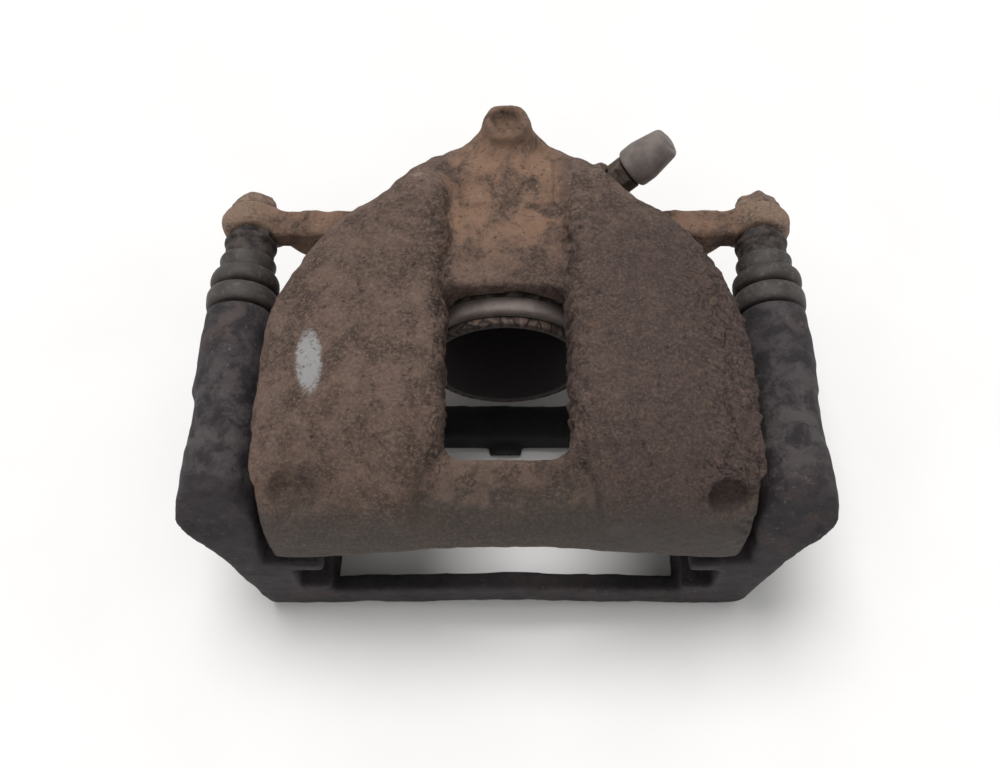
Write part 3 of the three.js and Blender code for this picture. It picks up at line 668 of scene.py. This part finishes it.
def rubber_finish(name, body, dust, dusty=0.6, scale=1.0):
    """Aged moulded rubber: fine matt grain, dust in patches, faint scratches round the folds."""
    f = Finish(name)
    patch, fine = f.noise(7 * scale, 5, 0.6, 0.3), f.noise(0.45, 4, 0.6, offset=9)
    f.base = f.mix(patch.ease(0.38, 0.62), toned(body, 0.8), toned(body, 1.15))
    f.coat(f.noise(2.4, 6, 0.7, 0.5, offset=21).ease(0.5, 0.68) * dusty, dust)
    scratch = f.noise(1.4, 3, 0.7, 3.0, offset=44).ease(0.66, 0.7)
    f.coat(scratch * 0.4, dust)
    normal = f.bump(fine, 0.05)
    normal = f.bump(f.noise(2.6, 4, 0.6), 0.12, normal)
    f.set(Base_Color=f.base, Roughness=0.62 + (patch - 0.5) * 0.3, Normal=normal, Specular_IOR_Level=0.4)
    return f


def spring_finish():
    """Stainless sheet dulled by brake dust, bright where it is rubbed."""
    f = Finish("dusty_spring_sheet")
    patch = f.noise(3.2, 6, 0.7, 0.4)
    brushed = f.noise(0.5, 3, 0.6, 2.0, offset=8)
    f.base = f.mix(patch.ease(0.42, 0.7), tint("2b2927"), tint("8b8984"))
    f.set(Base_Color=f.base, Roughness=0.55 + (0.6 - patch) * 0.5, Metallic=0.5,
          Normal=f.bump(brushed, 0.04))
    return f


def paper_floor_finish():
    """Plain pale matt floor with the faintest grain."""
    f = Finish("plain_floor")
    shade = f.noise(60, 3, 0.5)
    f.base = f.mix(shade.ease(0.3, 0.7), tint("f4f3f1"), tint("f7f6f5"))
    f.set(Base_Color=f.base, Roughness=0.85, Normal=f.bump(f.noise(0.8, 2, 0.5), 0.01),
          Specular_IOR_Level=0.2)
    return f


# ---- Housing --------------------------------------------------------------------------------------
BLEEDER_BASE = np.array([42.5, 57, 33])
BLEEDER_AXIS = np.array([0.73, 0.22, 0.65]) / np.linalg.norm([0.73, 0.22, 0.65])
BLEEDER_FACE = -8                        # seat on the boss, before the foot of the cap


def bleeder_place(x, y, z):
    """Distance along the bleeder's axis from the cap's base, and distance from that axis."""
    offset = [w - b for w, b in zip((x, y, z), BLEEDER_BASE)]
    along = sum(o * a for o, a in zip(offset, BLEEDER_AXIS))
    away = np.sqrt(np.maximum(sum(o * o for o in offset) - along * along, 0))
    return along, away


def housing_field(s, carrier):
    """The bridge is where its three outlines meet: from the side, from the wheel and from above. The
    valley follows the side outline, `depth` below it. Cylinder, ears and bosses are joined with fillets,
    and the disc's room, window, bore and holes are cut."""
    top, half = s.top, s.half_width
    side_outline = rounded([
        (-66.2, -26, 0), (-66.2, -2, 5), (-64.8, 10, 7), (-60.6, 22, 9), (-53, 32, 10), (-42, 41, 12),
        (-25, top, 16), (12, top, 18), (38, top - 1.2, 10), (46, top - 3, 4), (51, top - 7, 4),
        (59, top - 9.4, 8), (69, 29.5, 7), (69, -26, 0)])
    wheel_outline = rounded(mirrored([
        (0, -6.8, 0), (ARM_WALL, -6.8, 4), (ARM_WALL, 26.6, 0.8), (half, 27.6, 0.8),
        (half, 30.5, 3), (half - 3.5, 35.5, 6), (half - 15, 41, 10), (46, top - 0.8, 12), (34, top, 10),
        (0, top, 0)]))
    plan_outline = rounded(mirrored([
        (0, -67.8, 0), (half - 0.8, -67.8, 9), (half, -47, 12), (half, -9, 12), (72, 2.7, 10),
        (68.2, 14.5, 10), (62, 26.5, 8), (52.5, 35, 7), (44.5, 39.5, 5), (38.5, 45.7, 6), (31.6, 53.5, 8),
        (25, 61, 8), (18.8, 65.4, 6), (11.3, 68.4, 5), (0, 69.5, 0)]))

    def field(x, y, z):
        ax = np.abs(x)
        side = outline_field(side_outline, y, z)
        wheel = outline_field(wheel_outline, x, z)
        plan = outline_field(plan_outline, x, y)
        shell = meet(meet(side, wheel, 7), plan, 4 + 9 * ease(y, 0, 24) - 8 * ease(y, 40, 52))
        # Valley: as deep as valley_depth along the top, shallower down the front, gone at the lip.
        depth = s.valley_depth * (0.42 + 0.58 * ease(y, -46, -22)) * ease(z, 9, 24)
        depth = depth * (1 - 0.16 * ease(y, 14, 38)) * (1 - 0.85 * ease(y, 40, 52))
        width = s.valley_width + 0.5 * np.maximum(z - (top - s.valley_depth), -2) + 10 * ease(-y, 36, 60)
        valley = meet(ax - width, -(side + depth), 2.5)
        shell = cut(shell, valley, 3)
        # Soft rib each side of the window, with a shallow trough inside it, down the finger's front.
        front = ease(-y, 26, 42) * ease(z, 12, 22)
        rib = 1.9 * np.exp(-(((ax - 32) / 3.8) ** 2)) - 1.3 * np.exp(-(((ax - 24.5) / 3.2) ** 2))
        shell = shell - rib * front
        step = meet(ax - 15, slab(y, 37.4 + 0.6 * np.sin(x * 0.7), 56), 1.5)
        shell = join(shell, meet(step, side + depth - 1.5, 0.6), 1.5)
        room = meet(rod(x, z + HUB_DROP, DISC_ROOM), -53 - y, 10)
        shell = cut(shell, room, 2.5)
        arch = np.maximum(rod(x, z + ARCH_RADIUS - ARCH_TOP, ARCH_RADIUS), y + 52)
        shell = cut(shell, arch, 1.6)

        away = rod(x, z, 0)
        barrel = peg(away, 35.5, y, 12, 68, 5)
        barrel = join(barrel, peg(away, 34, y, 7, 16, 1.5), 2)
        body = join(shell, barrel, 5)
        boss = meet(rod(x, y - BOSS_Y, s.boss_radius + 0.16 * (top - z)), slab(z, 8, top), 2)
        boss = meet(boss, y - 73.3, 2)
        body = join(body, boss, 8)
        hose = meet(rod(x - HOSE_X, z - HOSE_Z, 10), slab(y, 55, 71.5), 1.5)
        body = join(body, hose, 3)
        along, apart = bleeder_place(x, y, z)
        body = join(body, peg(apart, 8.5, along, -26, BLEEDER_FACE, 1.5), 4)

        bar = block(ax, y, z, (36, 41.8, 11), (88, 49.7, 20), 2.2)
        stop = block(ax, y, z, (36, 39.4, 11), (78.4, 49.7, 20), 2)
        web_outline = rounded([(36, -8, 0), (52, -8, 4), (74, 4, 6), (76, 12, 1), (36, 14, 0)])
        web = meet(outline_field(web_outline, ax, z), slab(y, 42.5, 48.5), 1.5)
        end = block(ax, y, z, (74.7, 41.8, 6), (s.ear_end, 50.4, 21.4), 4)
        collar = meet(rod(ax - carrier.pin_x, z - carrier.pin_z, 9.3), slab(y, 41.8, 51.2), 2.2)
        end = join(end, collar, 2)
        knob = block(x, y, z, (88, 42.2, 6), (s.ear_end + 0.8, 50.6, 16.5), 3.4)
        body = join(body, join(join(join(bar, stop, 1), web, 2), join(end, knob, 1.5), 2.5), 5)

        bore = peg(away, s.bore_radius, y, -5, 60)
        pocket = peg(away, s.pocket_radius, y, 0, 12)
        groove = np.maximum(away - s.bore_radius - 3.6, slab(y, 21, 25.2))
        body = cut(body, np.minimum(np.minimum(bore, pocket), groove), 0.4)
        window = outline_field(rounded(mirrored([
            (0, s.window_front, 0), (s.window_half, s.window_front, 6),
            (s.window_half, s.window_rear, 3.5), (0, s.window_rear + 0.8, 0)])), x, y)
        ragged = (0.35 * np.sin(1.15 * y + 0.3 * x) + 0.2 * np.sin(2.7 * y + 1.3)) * ease(y, -45, -38)
        body = cut(body, np.maximum(window + ragged, slab(z, 5, 60)), 1.6)
        dish = np.sqrt((x / 5.4) ** 2 + ((y - 66.4) / 4.9) ** 2 + ((z - top - 0.3) / 4) ** 2) * 3 - 3
        body = cut(body, dish, 0.5)
        lean_y, lean_z = np.sin(0.9), np.cos(0.9)
        for sx, sy, sz, radius, soft in ((63, -57, 25.5, 6.1, 0.7), (-60.5, -57, 27, 5.8, 1.6)):
            deep = (y - sy) * lean_y * -1 + (z - sz) * lean_z
            flat = np.sqrt((x - sx) ** 2 + ((y - sy) * lean_z + (z - sz) * lean_y) ** 2)
            body = cut(body, meet(flat - radius - 0.3 * deep, -4.4 - deep, 1.2) if soft < 1.3
                       else np.hypot(flat * 0.45, deep + 0.8) - 3.4, soft)
        port = np.maximum(rod(x - HOSE_X, z - HOSE_Z, 5), slab(y, 62.5, 75))
        passage = np.maximum(rod(x - HOSE_X, z - HOSE_Z, 1.5), slab(y, 57, 75))
        body = cut(body, np.minimum(port, passage), 0.5)
        screw = peg(apart, THREAD_ROOM, along, -20.6, 4)
        body = cut(body, screw, 0.4)
        spanner = peg(apart, 9.7, along, BLEEDER_FACE, 26)
        body = cut(body, spanner, 0.8)
        holes = np.maximum(rod(ax - carrier.pin_x, z - carrier.pin_z, THREAD_ROOM), slab(y, 30, 60))
        return cut(body, holes, 0.3)

    return field


def housing_crust(s):
    """Heights of the rust: broad swells, lumps and grains, scaled up on the right-hand edge and beside
    the window, and left off the bore and its pocket."""

    def crust(points, slope):
        x, y, z = points.T
        calm = 1 - 0.65 * ease(-y, 54, 60) * ease(-z, -24, -14)
        height = 0.5 * lumps(points, 12, 1) + 0.55 * lumps(points, 5, 2) + 0.75 * lumps(points, 2.2, 3)
        height = height * s.rust * calm
        rim = x - 66 + 10 * ease(y, 6, 30) + 3 * lumps(points, 9, 21)
        flaky = ease(rim, -5, -1) * ease(z, 4, 14) * (1 - ease(y, 34, 40)) + 0.35 * ease(-x, 66, 72)
        beside = ease(np.abs(x), 17, 18.5) * (1 - ease(np.abs(x), 20, 25)) * ease(y, -52, -46) * (
            1 - ease(y, 26, 38)) * ease(z, 22, 30)
        ledge = lumps(points, 5, 5) + 0.7 * lumps(points, 2.2, 6)
        layers = (0.45 * ease(ledge, -0.35, -0.2) + 0.3 * ease(ledge, 0.05, 0.2)
                  + 0.25 * ease(ledge, 0.5, 0.62))
        height = height + (layers - 0.55) * np.clip(flaky + 0.9 * beside, 0, 1) * 1.5
        ears = ease(np.abs(x), 48, 54) * ease(y, 36, 40)
        height = height + ears * 0.35 * lumps(points, 3.4, 8)
        clear = (np.hypot(x, z) < 33) & (y > 6.5) & (y < 62)
        tight = ease(np.abs(x), 71, 73) * ease(-z, -27.5, -26.5)
        height = np.where(clear, 0, height) * (1 - 0.8 * tight) - 0.25 * tight * ~clear
        along, apart = bleeder_place(x, y, z)
        near = (apart < 10.6) & (along > BLEEDER_FACE - 16)
        seat = ease(np.abs(x), 76, 78) * (slope[:, 1] ** 2 > 0.5)
        bolt = np.hypot(np.abs(x) - 86, z - 15) < 5.2
        return np.where(near | bolt, -0.05, height * (1 - seat) - 0.12 * seat)

    return crust


# ---- Carrier --------------------------------------------------------------------------------------
def carrier_field(s, rest):
    """Two frames seen from the wheel, one each side of the disc, arms and guide bosses along Y; the disc's
    room, pad slots and bores are cut, and the wheel side leans back towards the arms."""
    half, pin_x, pin_z, r = s.half_width, s.pin_x, s.pin_z, s.arm_radius

    def outline(inner, rise):
        return rounded(mirrored([
            (0, rest + rise, 0), (ABUTMENT - 12, rest + rise / 3, 8), (ABUTMENT, rest, 6),
            (half - 17, rest, 4),
            (half - 14, -24, 5), (half - 11, -8, 5), (half - 5, 5, 3), (half, pin_z - 3, 2),
            (half - 2.5, pin_z + 8, 5), (pin_x, pin_z + r, 6), (pin_x - 8, pin_z + 7.6, 4),
            (pin_x - r, pin_z, 3), (pin_x - r, -8, 2), (ABUTMENT, -8, 1.5),
            (ABUTMENT, rest + inner, 3), (ABUTMENT - 12, rest + inner + rise / 3, 8),
            (0, rest + inner + rise, 0)]))

    lean = rounded([(-68, rest - 2, 0), (30, rest - 2, 0), (30, 40, 0), (-51, 40, 0), (-55.5, pin_z + r, 3),
                    (-59, pin_z, 5), (-63.6, 5, 6), (-66, -8, 8), (-68, -26, 8)])
    arm = rounded([(pin_x - r, pin_z - 9.5, 2), (half - 6, pin_z - 12, 4), (half, pin_z - 3, 2),
                   (half - 2.5, pin_z + 8, 5), (pin_x, pin_z + r, 6), (pin_x - 8, pin_z + 7.6, 4),
                   (pin_x - r, pin_z, 3)])

    def field(x, y, z):
        ax = np.abs(x)
        front = meet(outline_field(outline(s.tie_height, 3.6), x, z), slab(y, -68, -39), 2.2)
        front = cut(front, np.maximum(ax - ABUTMENT, slab(y, -68 + s.tie_thickness, -30)), 1)
        rear = meet(outline_field(outline(11.5, 0), x, z), slab(y, -10, 8), 1.5)
        rear = cut(rear, np.maximum(ax - ABUTMENT, slab(y, 3, 12)), 1)
        tab = np.maximum(np.maximum(rod(x, z - rest, 6), slab(y, -12.6, -8)), rest - z)
        body = np.minimum(front, rear)
        body = join(body, meet(outline_field(arm, ax, z), slab(y, -68, 1), 1.5), 3)
        body = join(body, meet(rod(ax - pin_x, z - pin_z, r), slab(y, -20, 10), 1.2), 1.5)
        lug_z = rest + LUG_RADIUS
        body = join(body, meet(rod(ax - LUG_X, z - lug_z, LUG_RADIUS), slab(y, -10, 16), 1.2), 2)
        body = meet(body, outline_field(lean, y, z), 1.6)
        disc = np.maximum(rod(x, z + HUB_DROP, DISC_ROOM), slab(y, DISC_FRONT, DISC_REAR))
        body = join(cut(body, disc, 0.8), tab, 1)
        slot = np.maximum(slab(ax, 50, 66.5), slab(z, -26.5, -13))
        body = cut(body, slot, 0.6)
        bore = np.maximum(rod(ax - pin_x, z - pin_z, s.bore_radius), slab(y, -49, 12))
        holes = rod(ax - LUG_X, z - lug_z, LUG_HOLE)
        body = cut(body, np.minimum(bore, np.maximum(holes, slab(y, -12, 18))), 0.6)
        return np.maximum(body, rest - z)

    return field


def carrier_crust(s, rest):
    """Heights of the rust and casting skin, bulging on the outer edge of the left arm and left off the
    faces that something slides or sits on."""

    def crust(points, slope):
        x, y, z = points.T
        ax = np.abs(x)
        height = 0.6 * lumps(points, 9, 11) + 0.35 * lumps(points, 4, 12) + 0.2 * lumps(points, 2.2, 13)
        height = height * s.rust
        bulge = np.exp(-((x + 97) / 3) ** 2 - ((y + 20) / 5) ** 2 - ((z - 12) / 9) ** 2)
        height = height + bulge * (0.5 + 0.6 * lumps(points, 3, 14))
        worn = ease(y, -6, -4) * 0.75
        height = height * (1 - worn * (z > 0))
        inner = (ax < 77) & (z > -8.5)
        bore = np.hypot(ax - s.pin_x, z - s.pin_z) < 7.5
        foot = z < rest + 0.8
        seat = (np.abs(slope[:, 1]) > 0.7) & (y > 6)
        slot = (ax < 68) & (z > -28) & (z < -11)
        return np.where(inner | bore | foot | seat | slot, -0.06, height)

    return crust


# ---- Operators ------------------------------------------------------------------------------------
def settle(piece, finish, body, node):
    """Gives a piece its finish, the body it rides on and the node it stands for."""
    dress(piece, finish)
    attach(piece, body)
    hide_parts(node)


def stretch(piece, finish, node):
    """Gives a boot its finish, bakes its place into its mesh and hides its node."""
    dress(piece, finish)
    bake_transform(piece)
    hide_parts(node)


class CALIPER_OT_housing(bpy.types.Operator):
    """Make the rusted housing: bridge, finger, cylinder, ears and bosses"""
    bl_idname = "caliper.housing"
    bl_label = "Housing"

    def execute(self, context):
        scene = context.scene
        s, carrier = in_mm(scene.caliper_housing), in_mm(scene.caliper_carrier)
        piece = sculpted("housing_casting", housing_field(s, carrier), (-101, -70.5, -39),
                         (102, 78.5, 50.5), s.pitch, housing_crust(s))
        settle(piece, housing_finish(scene.caliper_iron), "caliper", "caliper_housing")
        return {"FINISHED"}


class CALIPER_OT_carrier(bpy.types.Operator):
    """Make the carrier bracket with its arms, tie bar and lugs"""
    bl_idname = "caliper.carrier"
    bl_label = "Carrier"

    def execute(self, context):
        scene = context.scene
        s = in_mm(scene.caliper_carrier)
        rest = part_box("carrier_bracket")[0][2] / MM - RIM[2]
        piece = sculpted("carrier_casting", carrier_field(s, rest), (-102, -72, rest - 3), (102, 20, 30),
                         s.pitch, carrier_crust(s, rest))
        settle(piece, carrier_finish(scene.caliper_iron), "carrier", "carrier_bracket")
        return {"FINISHED"}


class CALIPER_OT_piston(bpy.types.Operator):
    """Make the piston, its dust boot, and the finishes of the seal and ring"""
    bl_idname = "caliper.piston"
    bl_label = "Piston and seals"

    def execute(self, context):
        colours = context.scene.caliper_rubber
        radius = (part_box("piston")[1][0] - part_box("piston")[0][0]) / 2 / MM
        inner, groove = radius - PISTON_WALL, radius - 0.8
        profile = rounded([
            (0, 39, 0), (inner - 2, 39, 0), (inner, 36, 2.5), (inner, 0, 0.5), (radius, 0, 0.6),
            (radius, 2.6, 0.3), (groove, 2.8, 0.3), (groove, 4.8, 0.3), (radius, 5, 0.3),
            (radius, 48, 1.5), (0, 48, 0)], 4)

        def flaked(along, turn):
            around = np.sin(turn * 9 + 1.3) * np.sin(turn * 23) + 0.6 * np.sin(turn * 41 + 2)
            return -0.09 * (1 + around * 0.5) * (along < 3)

        piston = turned("piston_cup", profile, (0, 0, 0), sides=160, wave=flaked)
        settle(piston, piston_finish(), "piston", "piston")

        lip, fold, pocket = radius - 0.5, radius + 3.1, radius + 4.6
        boot_profile = rounded([
            (lip, 2.9, 0.3), (lip + 2.4, 2.9, 1), (fold, 3.6, 1.2), (fold + 0.1, 6.2, 1),
            (fold - 0.2, 9.0, 0.6), (pocket, 9.5, 0.4), (pocket, 11.7, 0.5), (fold - 1.2, 11.7, 0.5),
            (fold - 1.3, 5.6, 0.8), (lip + 2, 4.7, 0.6), (lip, 4.7, 0.3)], 5)
        boot = turned("piston_boot_rubber", boot_profile, (0, 0, 0), sides=160)
        stretch(boot, rubber_finish("dust_boot_rubber", colours.inner_boot, colours.dust, 0.5),
                "piston_dust_boot")

        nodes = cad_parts
        dress(nodes["piston_seal"], rubber_finish("seal_rubber", colours.seal, colours.dust, 0.15))
        dress(nodes["dust_boot_ring"],
              rusty_steel("ring_steel", tint("2e2927"), tint("6f655c"), 1.4, 0.1, 0.6))
        return {"FINISHED"}


def guide_pin_field(radius, core):
    """Pin along Y: shank with a thinner end of radius `core`, neck, flanged hexagon and threaded hole."""

    def field(x, y, z):
        away = rod(x, z, 0)
        shank = peg(away, radius, y, -30, 24.5, 0.6)
        shank = np.minimum(shank, peg(away, core, y, -44, -20, 0.8))
        neck = peg(away, 8, y, 23.8, 36.6, 0.8)
        flange = meet(np.maximum(hexagon(x, z, 14), away - 7.8), slab(y, 36.3, 41.5), 0.4)
        washer = peg(away, 8.7, y, 36.4, 38.8, 0.8)
        body = np.minimum(np.minimum(shank, neck), join(flange, washer, 0.4))
        return cut(body, peg(away, THREAD_ROOM, y, 17.7, 50))

    return field


def guide_bolt_field(across):
    """Bolt along Y: shank, washer, and a hexagonal head with its corners turned off."""

    def field(x, y, z):
        away = rod(x, z, 0)
        shank = peg(away, 4, y, 19.7, 51, 0.5)
        washer = peg(away, 8.2, y, 50, 52.6, 1.2)
        head = meet(hexagon(x, z, across), slab(y, 51, 56.9), 1.5)
        head = meet(head, np.sqrt(away**2 + (y - 47) ** 2) - 11.2, 1)
        return np.minimum(shank, join(washer, head, 2))

    return field


def guide_bolt_crust(seed):
    """Heights of the rust on a bolt's head and washer; the shank stays bare."""

    def crust(points, slope):
        away = np.hypot(points[:, 0], points[:, 2])
        out = (points[:, 1] > 51.4) | (away > 5)
        return np.where(out, 0.4 * lumps(points, 3, seed) + 0.2 * lumps(points, 1.2, seed), -0.02)

    return crust


def guide_boot_profile(s):
    """Outside of the boot from its bead at the arm over two folds to the collar, then back along the
    inside, one wall nearer the pin."""
    fold, root, collar = s.boot_fold, s.boot_root, s.boot_collar
    outer = [(root, 10.3, 0.4), (fold + 0.2, 10.9, 2.4), (fold + 0.3, 17.3, 2.8),
             (root - 0.9, 18.3, 0.5), (fold - 0.1, 19.3, 2.4), (fold - 0.2, 24.3, 2.4),
             (root - 0.9, 25.1, 0.6), (collar - 0.6, 26.2, 1.2), (collar + 0.1, 30.2, 0.7),
             (collar - 0.4, 31, 0.4)]
    return rounded(outer + [(r - s.boot_wall, y, 0.7 * soft) for r, y, soft in reversed(outer)], 5)


class CALIPER_OT_guides(bpy.types.Operator):
    """Make the guide pins, their bolts, their boots and the finish of the bush"""
    bl_idname = "caliper.guides"
    bl_label = "Guide pins, bolts and boots"

    def execute(self, context):
        scene = context.scene
        s, carrier = in_mm(scene.caliper_guides), in_mm(scene.caliper_carrier)
        rubber = scene.caliper_rubber
        pin_steel = rusty_steel("guide_pin_steel", tint("2a2524"), tint("574e49"), 1.8, 0.12, 0.4)
        bolt_steel = rusty_steel("rusty_bolt_steel", tint("5a493f"), tint("8a7362"), 2.6, 0.6, 0.0)
        boot_rubber = rubber_finish("guide_boot_rubber", rubber.boot, rubber.dust, 0.45)

        def crumpled(along, turn):
            return 0.07 * np.sin(turn * 2 + along * 0.4) + 0.04 * np.sin(turn * 5 + along)

        for name, side in SIDES:
            centre = np.array((side * carrier.pin_x, 0, carrier.pin_z))
            core = s.pin_radius - (1.7 if name == "left" else 0)
            pin = sculpted(f"guide_pin_{name}_steel", guide_pin_field(s.pin_radius, core),
                           (-10, -46, -10), (10, 43, 10), 0.55, place=centre.__add__)
            settle(pin, pin_steel, "caliper", f"guide_pin_{name}")
            bolt = sculpted(f"guide_bolt_{name}_steel", guide_bolt_field(s.bolt_across),
                            (-10, 18, -10), (10, 59, 10), 0.5, guide_bolt_crust(30 + side),
                            place=centre.__add__)
            settle(bolt, bolt_steel, "caliper", f"guide_bolt_{name}")
            boot = turned(f"guide_boot_{name}_rubber", guide_boot_profile(s), centre, sides=112,
                          wave=crumpled)
            stretch(boot, boot_rubber, f"guide_boot_{name}")
        dress(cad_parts["guide_pin_bush"],
              rubber_finish("bush_rubber", rubber.seal, rubber.dust, 0.2))
        return {"FINISHED"}


def bleeder_screw_field(radius, across):
    """Screw along Y: thread with a wavy flank, hexagon, neck, bead that holds the cap, and bore."""

    def field(x, y, z):
        away = rod(x, z, 0)
        thread = peg(away, radius, y, -20, -6, 0.8)
        thread = thread + 0.12 * np.cos(y * 2 * np.pi / THREAD_PITCH) * (y < BLEEDER_FACE - 0.2)
        flats = meet(hexagon(x, z, across), slab(y, -7.7, -2.1), 0.5)
        neck = peg(away, 2.8, y, -3, 9.6, 0.4)
        bead = peg(away, 3.5, y, 6.2, 9, 1.2)
        body = np.minimum(np.minimum(thread, flats), np.minimum(neck, bead))
        return cut(body, peg(away, 1.2, y, -17.5, 14))

    return field


class CALIPER_OT_bleeder(bpy.types.Operator):
    """Make the bleeder screw and its rubber cap"""
    bl_idname = "caliper.bleeder"
    bl_label = "Bleeder and cap"

    def execute(self, context):
        scene = context.scene
        s = in_mm(scene.caliper_bleeder)
        across = np.cross(BLEEDER_AXIS, (0, 0, 1))
        across /= np.linalg.norm(across)
        turn = np.stack([across, BLEEDER_AXIS, np.cross(across, BLEEDER_AXIS)])
        screw = sculpted("bleeder_screw_steel", bleeder_screw_field(s.thread, s.across),
                         (-7, -22, -7), (7, 12, 7), 0.35, place=lambda p: p @ turn + BLEEDER_BASE)
        settle(screw, rusty_steel("bleeder_steel", tint("3d332d"), tint("6e6054"), 1.4, 0.2, 0.4),
               "bleeder", "bleeder_screw")

        base, tip = s.cap_base, s.cap_tip
        profile = rounded([
            (base - 2, -1.4, 0.3), (base - 0.2, -1.4, 0.5), (base + 0.25, -0.6, 0.5), (base + 0.35, 3.6, 1),
            (tip + 0.35, 12.6, 0.8), (tip - 0.3, 13.6, 0.5), (3.1, 13.7, 0.3),
            (2.8, 14.2, 0.3), (0, 14.2, 0), (0, 10.8, 0), (tip - 1.5, 10.8, 0.5), (base - 2.1, 1.6, 1)], 5)
        cap = turned("bleeder_cap_rubber", profile, BLEEDER_BASE, BLEEDER_AXIS, 96)
        rubber = scene.caliper_rubber
        settle(cap, rubber_finish("cap_rubber", rubber.cap, rubber.dust, 0.55, 0.8), "cap", "bleeder_cap")
        return {"FINISHED"}


class CALIPER_OT_clips(bpy.types.Operator):
    """Give the pad clips their dusty sheet finish"""
    bl_idname = "caliper.clips"
    bl_label = "Pad clips"

    def execute(self, context):
        sheet = spring_finish()
        for end in ("outboard", "inboard"):
            for name, _ in SIDES:
                dress(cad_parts[f"pad_clip_{end}_{name}"], sheet)
        return {"FINISHED"}


class CALIPER_OT_studio(bpy.types.Operator):
    """Make the pale floor, the soft light and the camera"""
    bl_idname = "caliper.studio"
    bl_label = "Studio"

    def execute(self, context):
        scene = context.scene
        s = scene.caliper_studio
        ring = np.array([(-1, -1), (1, -1), (1, 1), (-1, 1)]) * FLOOR_HALF
        floor = meshed("floor", np.column_stack([ring, np.full(4, -RIM[2])]) - (RIM[0], RIM[1], 0),
                       [[0, 1, 2, 3]])
        dress(floor, paper_floor_finish())

        world = bpy.data.worlds.new("studio")
        scene.world = world
        world.use_nodes = True
        background = world.node_tree.nodes["Background"]
        background.inputs["Color"].default_value = (1, 1, 1, 1)
        background.inputs["Strength"].default_value = s.sky

        data = bpy.data.lights.new("key", "SUN")
        data.energy, data.angle = s.key, s.softness
        lamp = bpy.data.objects.new("key", data)
        lamp.rotation_euler = Vector(LIGHT_DIRECTION).to_track_quat("-Z", "Y").to_euler()
        scene.collection.objects.link(lamp)

        data = bpy.data.cameras.new("camera")
        data.lens, data.sensor_width = s.lens, 36
        data.clip_start, data.clip_end = 0.01, 10
        camera = bpy.data.objects.new("camera", data)
        facing = Euler((s.tilt, 0, 0))
        camera.rotation_euler = facing
        back = facing.to_matrix() @ Vector((0, -6 * MM, s.distance))
        camera.location = Vector(RIM * MM) + back + Vector((-2 * MM, 0, 0))
        scene.collection.objects.link(camera)
        scene.camera = camera
        scene.view_settings.view_transform = "Standard"
        return {"FINISHED"}


class CALIPER_PT_panel(bpy.types.Panel):
    """Sizes and colours of the caliper, with a button for each piece"""
    bl_idname = "CALIPER_PT_panel"
    bl_label = "Caliper"
    bl_space_type = "VIEW_3D"
    bl_region_type = "UI"
    bl_category = "Caliper"

    def draw(self, context):
        for operator in OPERATORS:
            self.layout.operator(operator.bl_idname)
        for key, group in GROUPS.items():
            column = self.layout.column(align=True)
            for name in group.__annotations__:
                column.prop(getattr(context.scene, key), name)


GROUPS = {
    "caliper_housing": HousingSizes,
    "caliper_carrier": CarrierSizes,
    "caliper_guides": GuideSizes,
    "caliper_bleeder": BleederSizes,
    "caliper_iron": IronColours,
    "caliper_rubber": RubberColours,
    "caliper_studio": StudioSettings,
}
OPERATORS = (CALIPER_OT_housing, CALIPER_OT_carrier, CALIPER_OT_piston, CALIPER_OT_guides,
             CALIPER_OT_bleeder, CALIPER_OT_clips, CALIPER_OT_studio)


def register():
    for cls in (*GROUPS.values(), *OPERATORS, CALIPER_PT_panel):
        bpy.utils.register_class(cls)
    for key, group in GROUPS.items():
        setattr(bpy.types.Scene, key, bpy.props.PointerProperty(type=group))


def unregister():
    for key in GROUPS:
        delattr(bpy.types.Scene, key)
    for cls in (CALIPER_PT_panel, *reversed(OPERATORS), *reversed(GROUPS.values())):
        bpy.utils.unregister_class(cls)


def main():
    register()
    for operator in OPERATORS:
        group, name = operator.bl_idname.split(".")
        getattr(getattr(bpy.ops, group), name)()


if __name__ == "__main__":
    main()
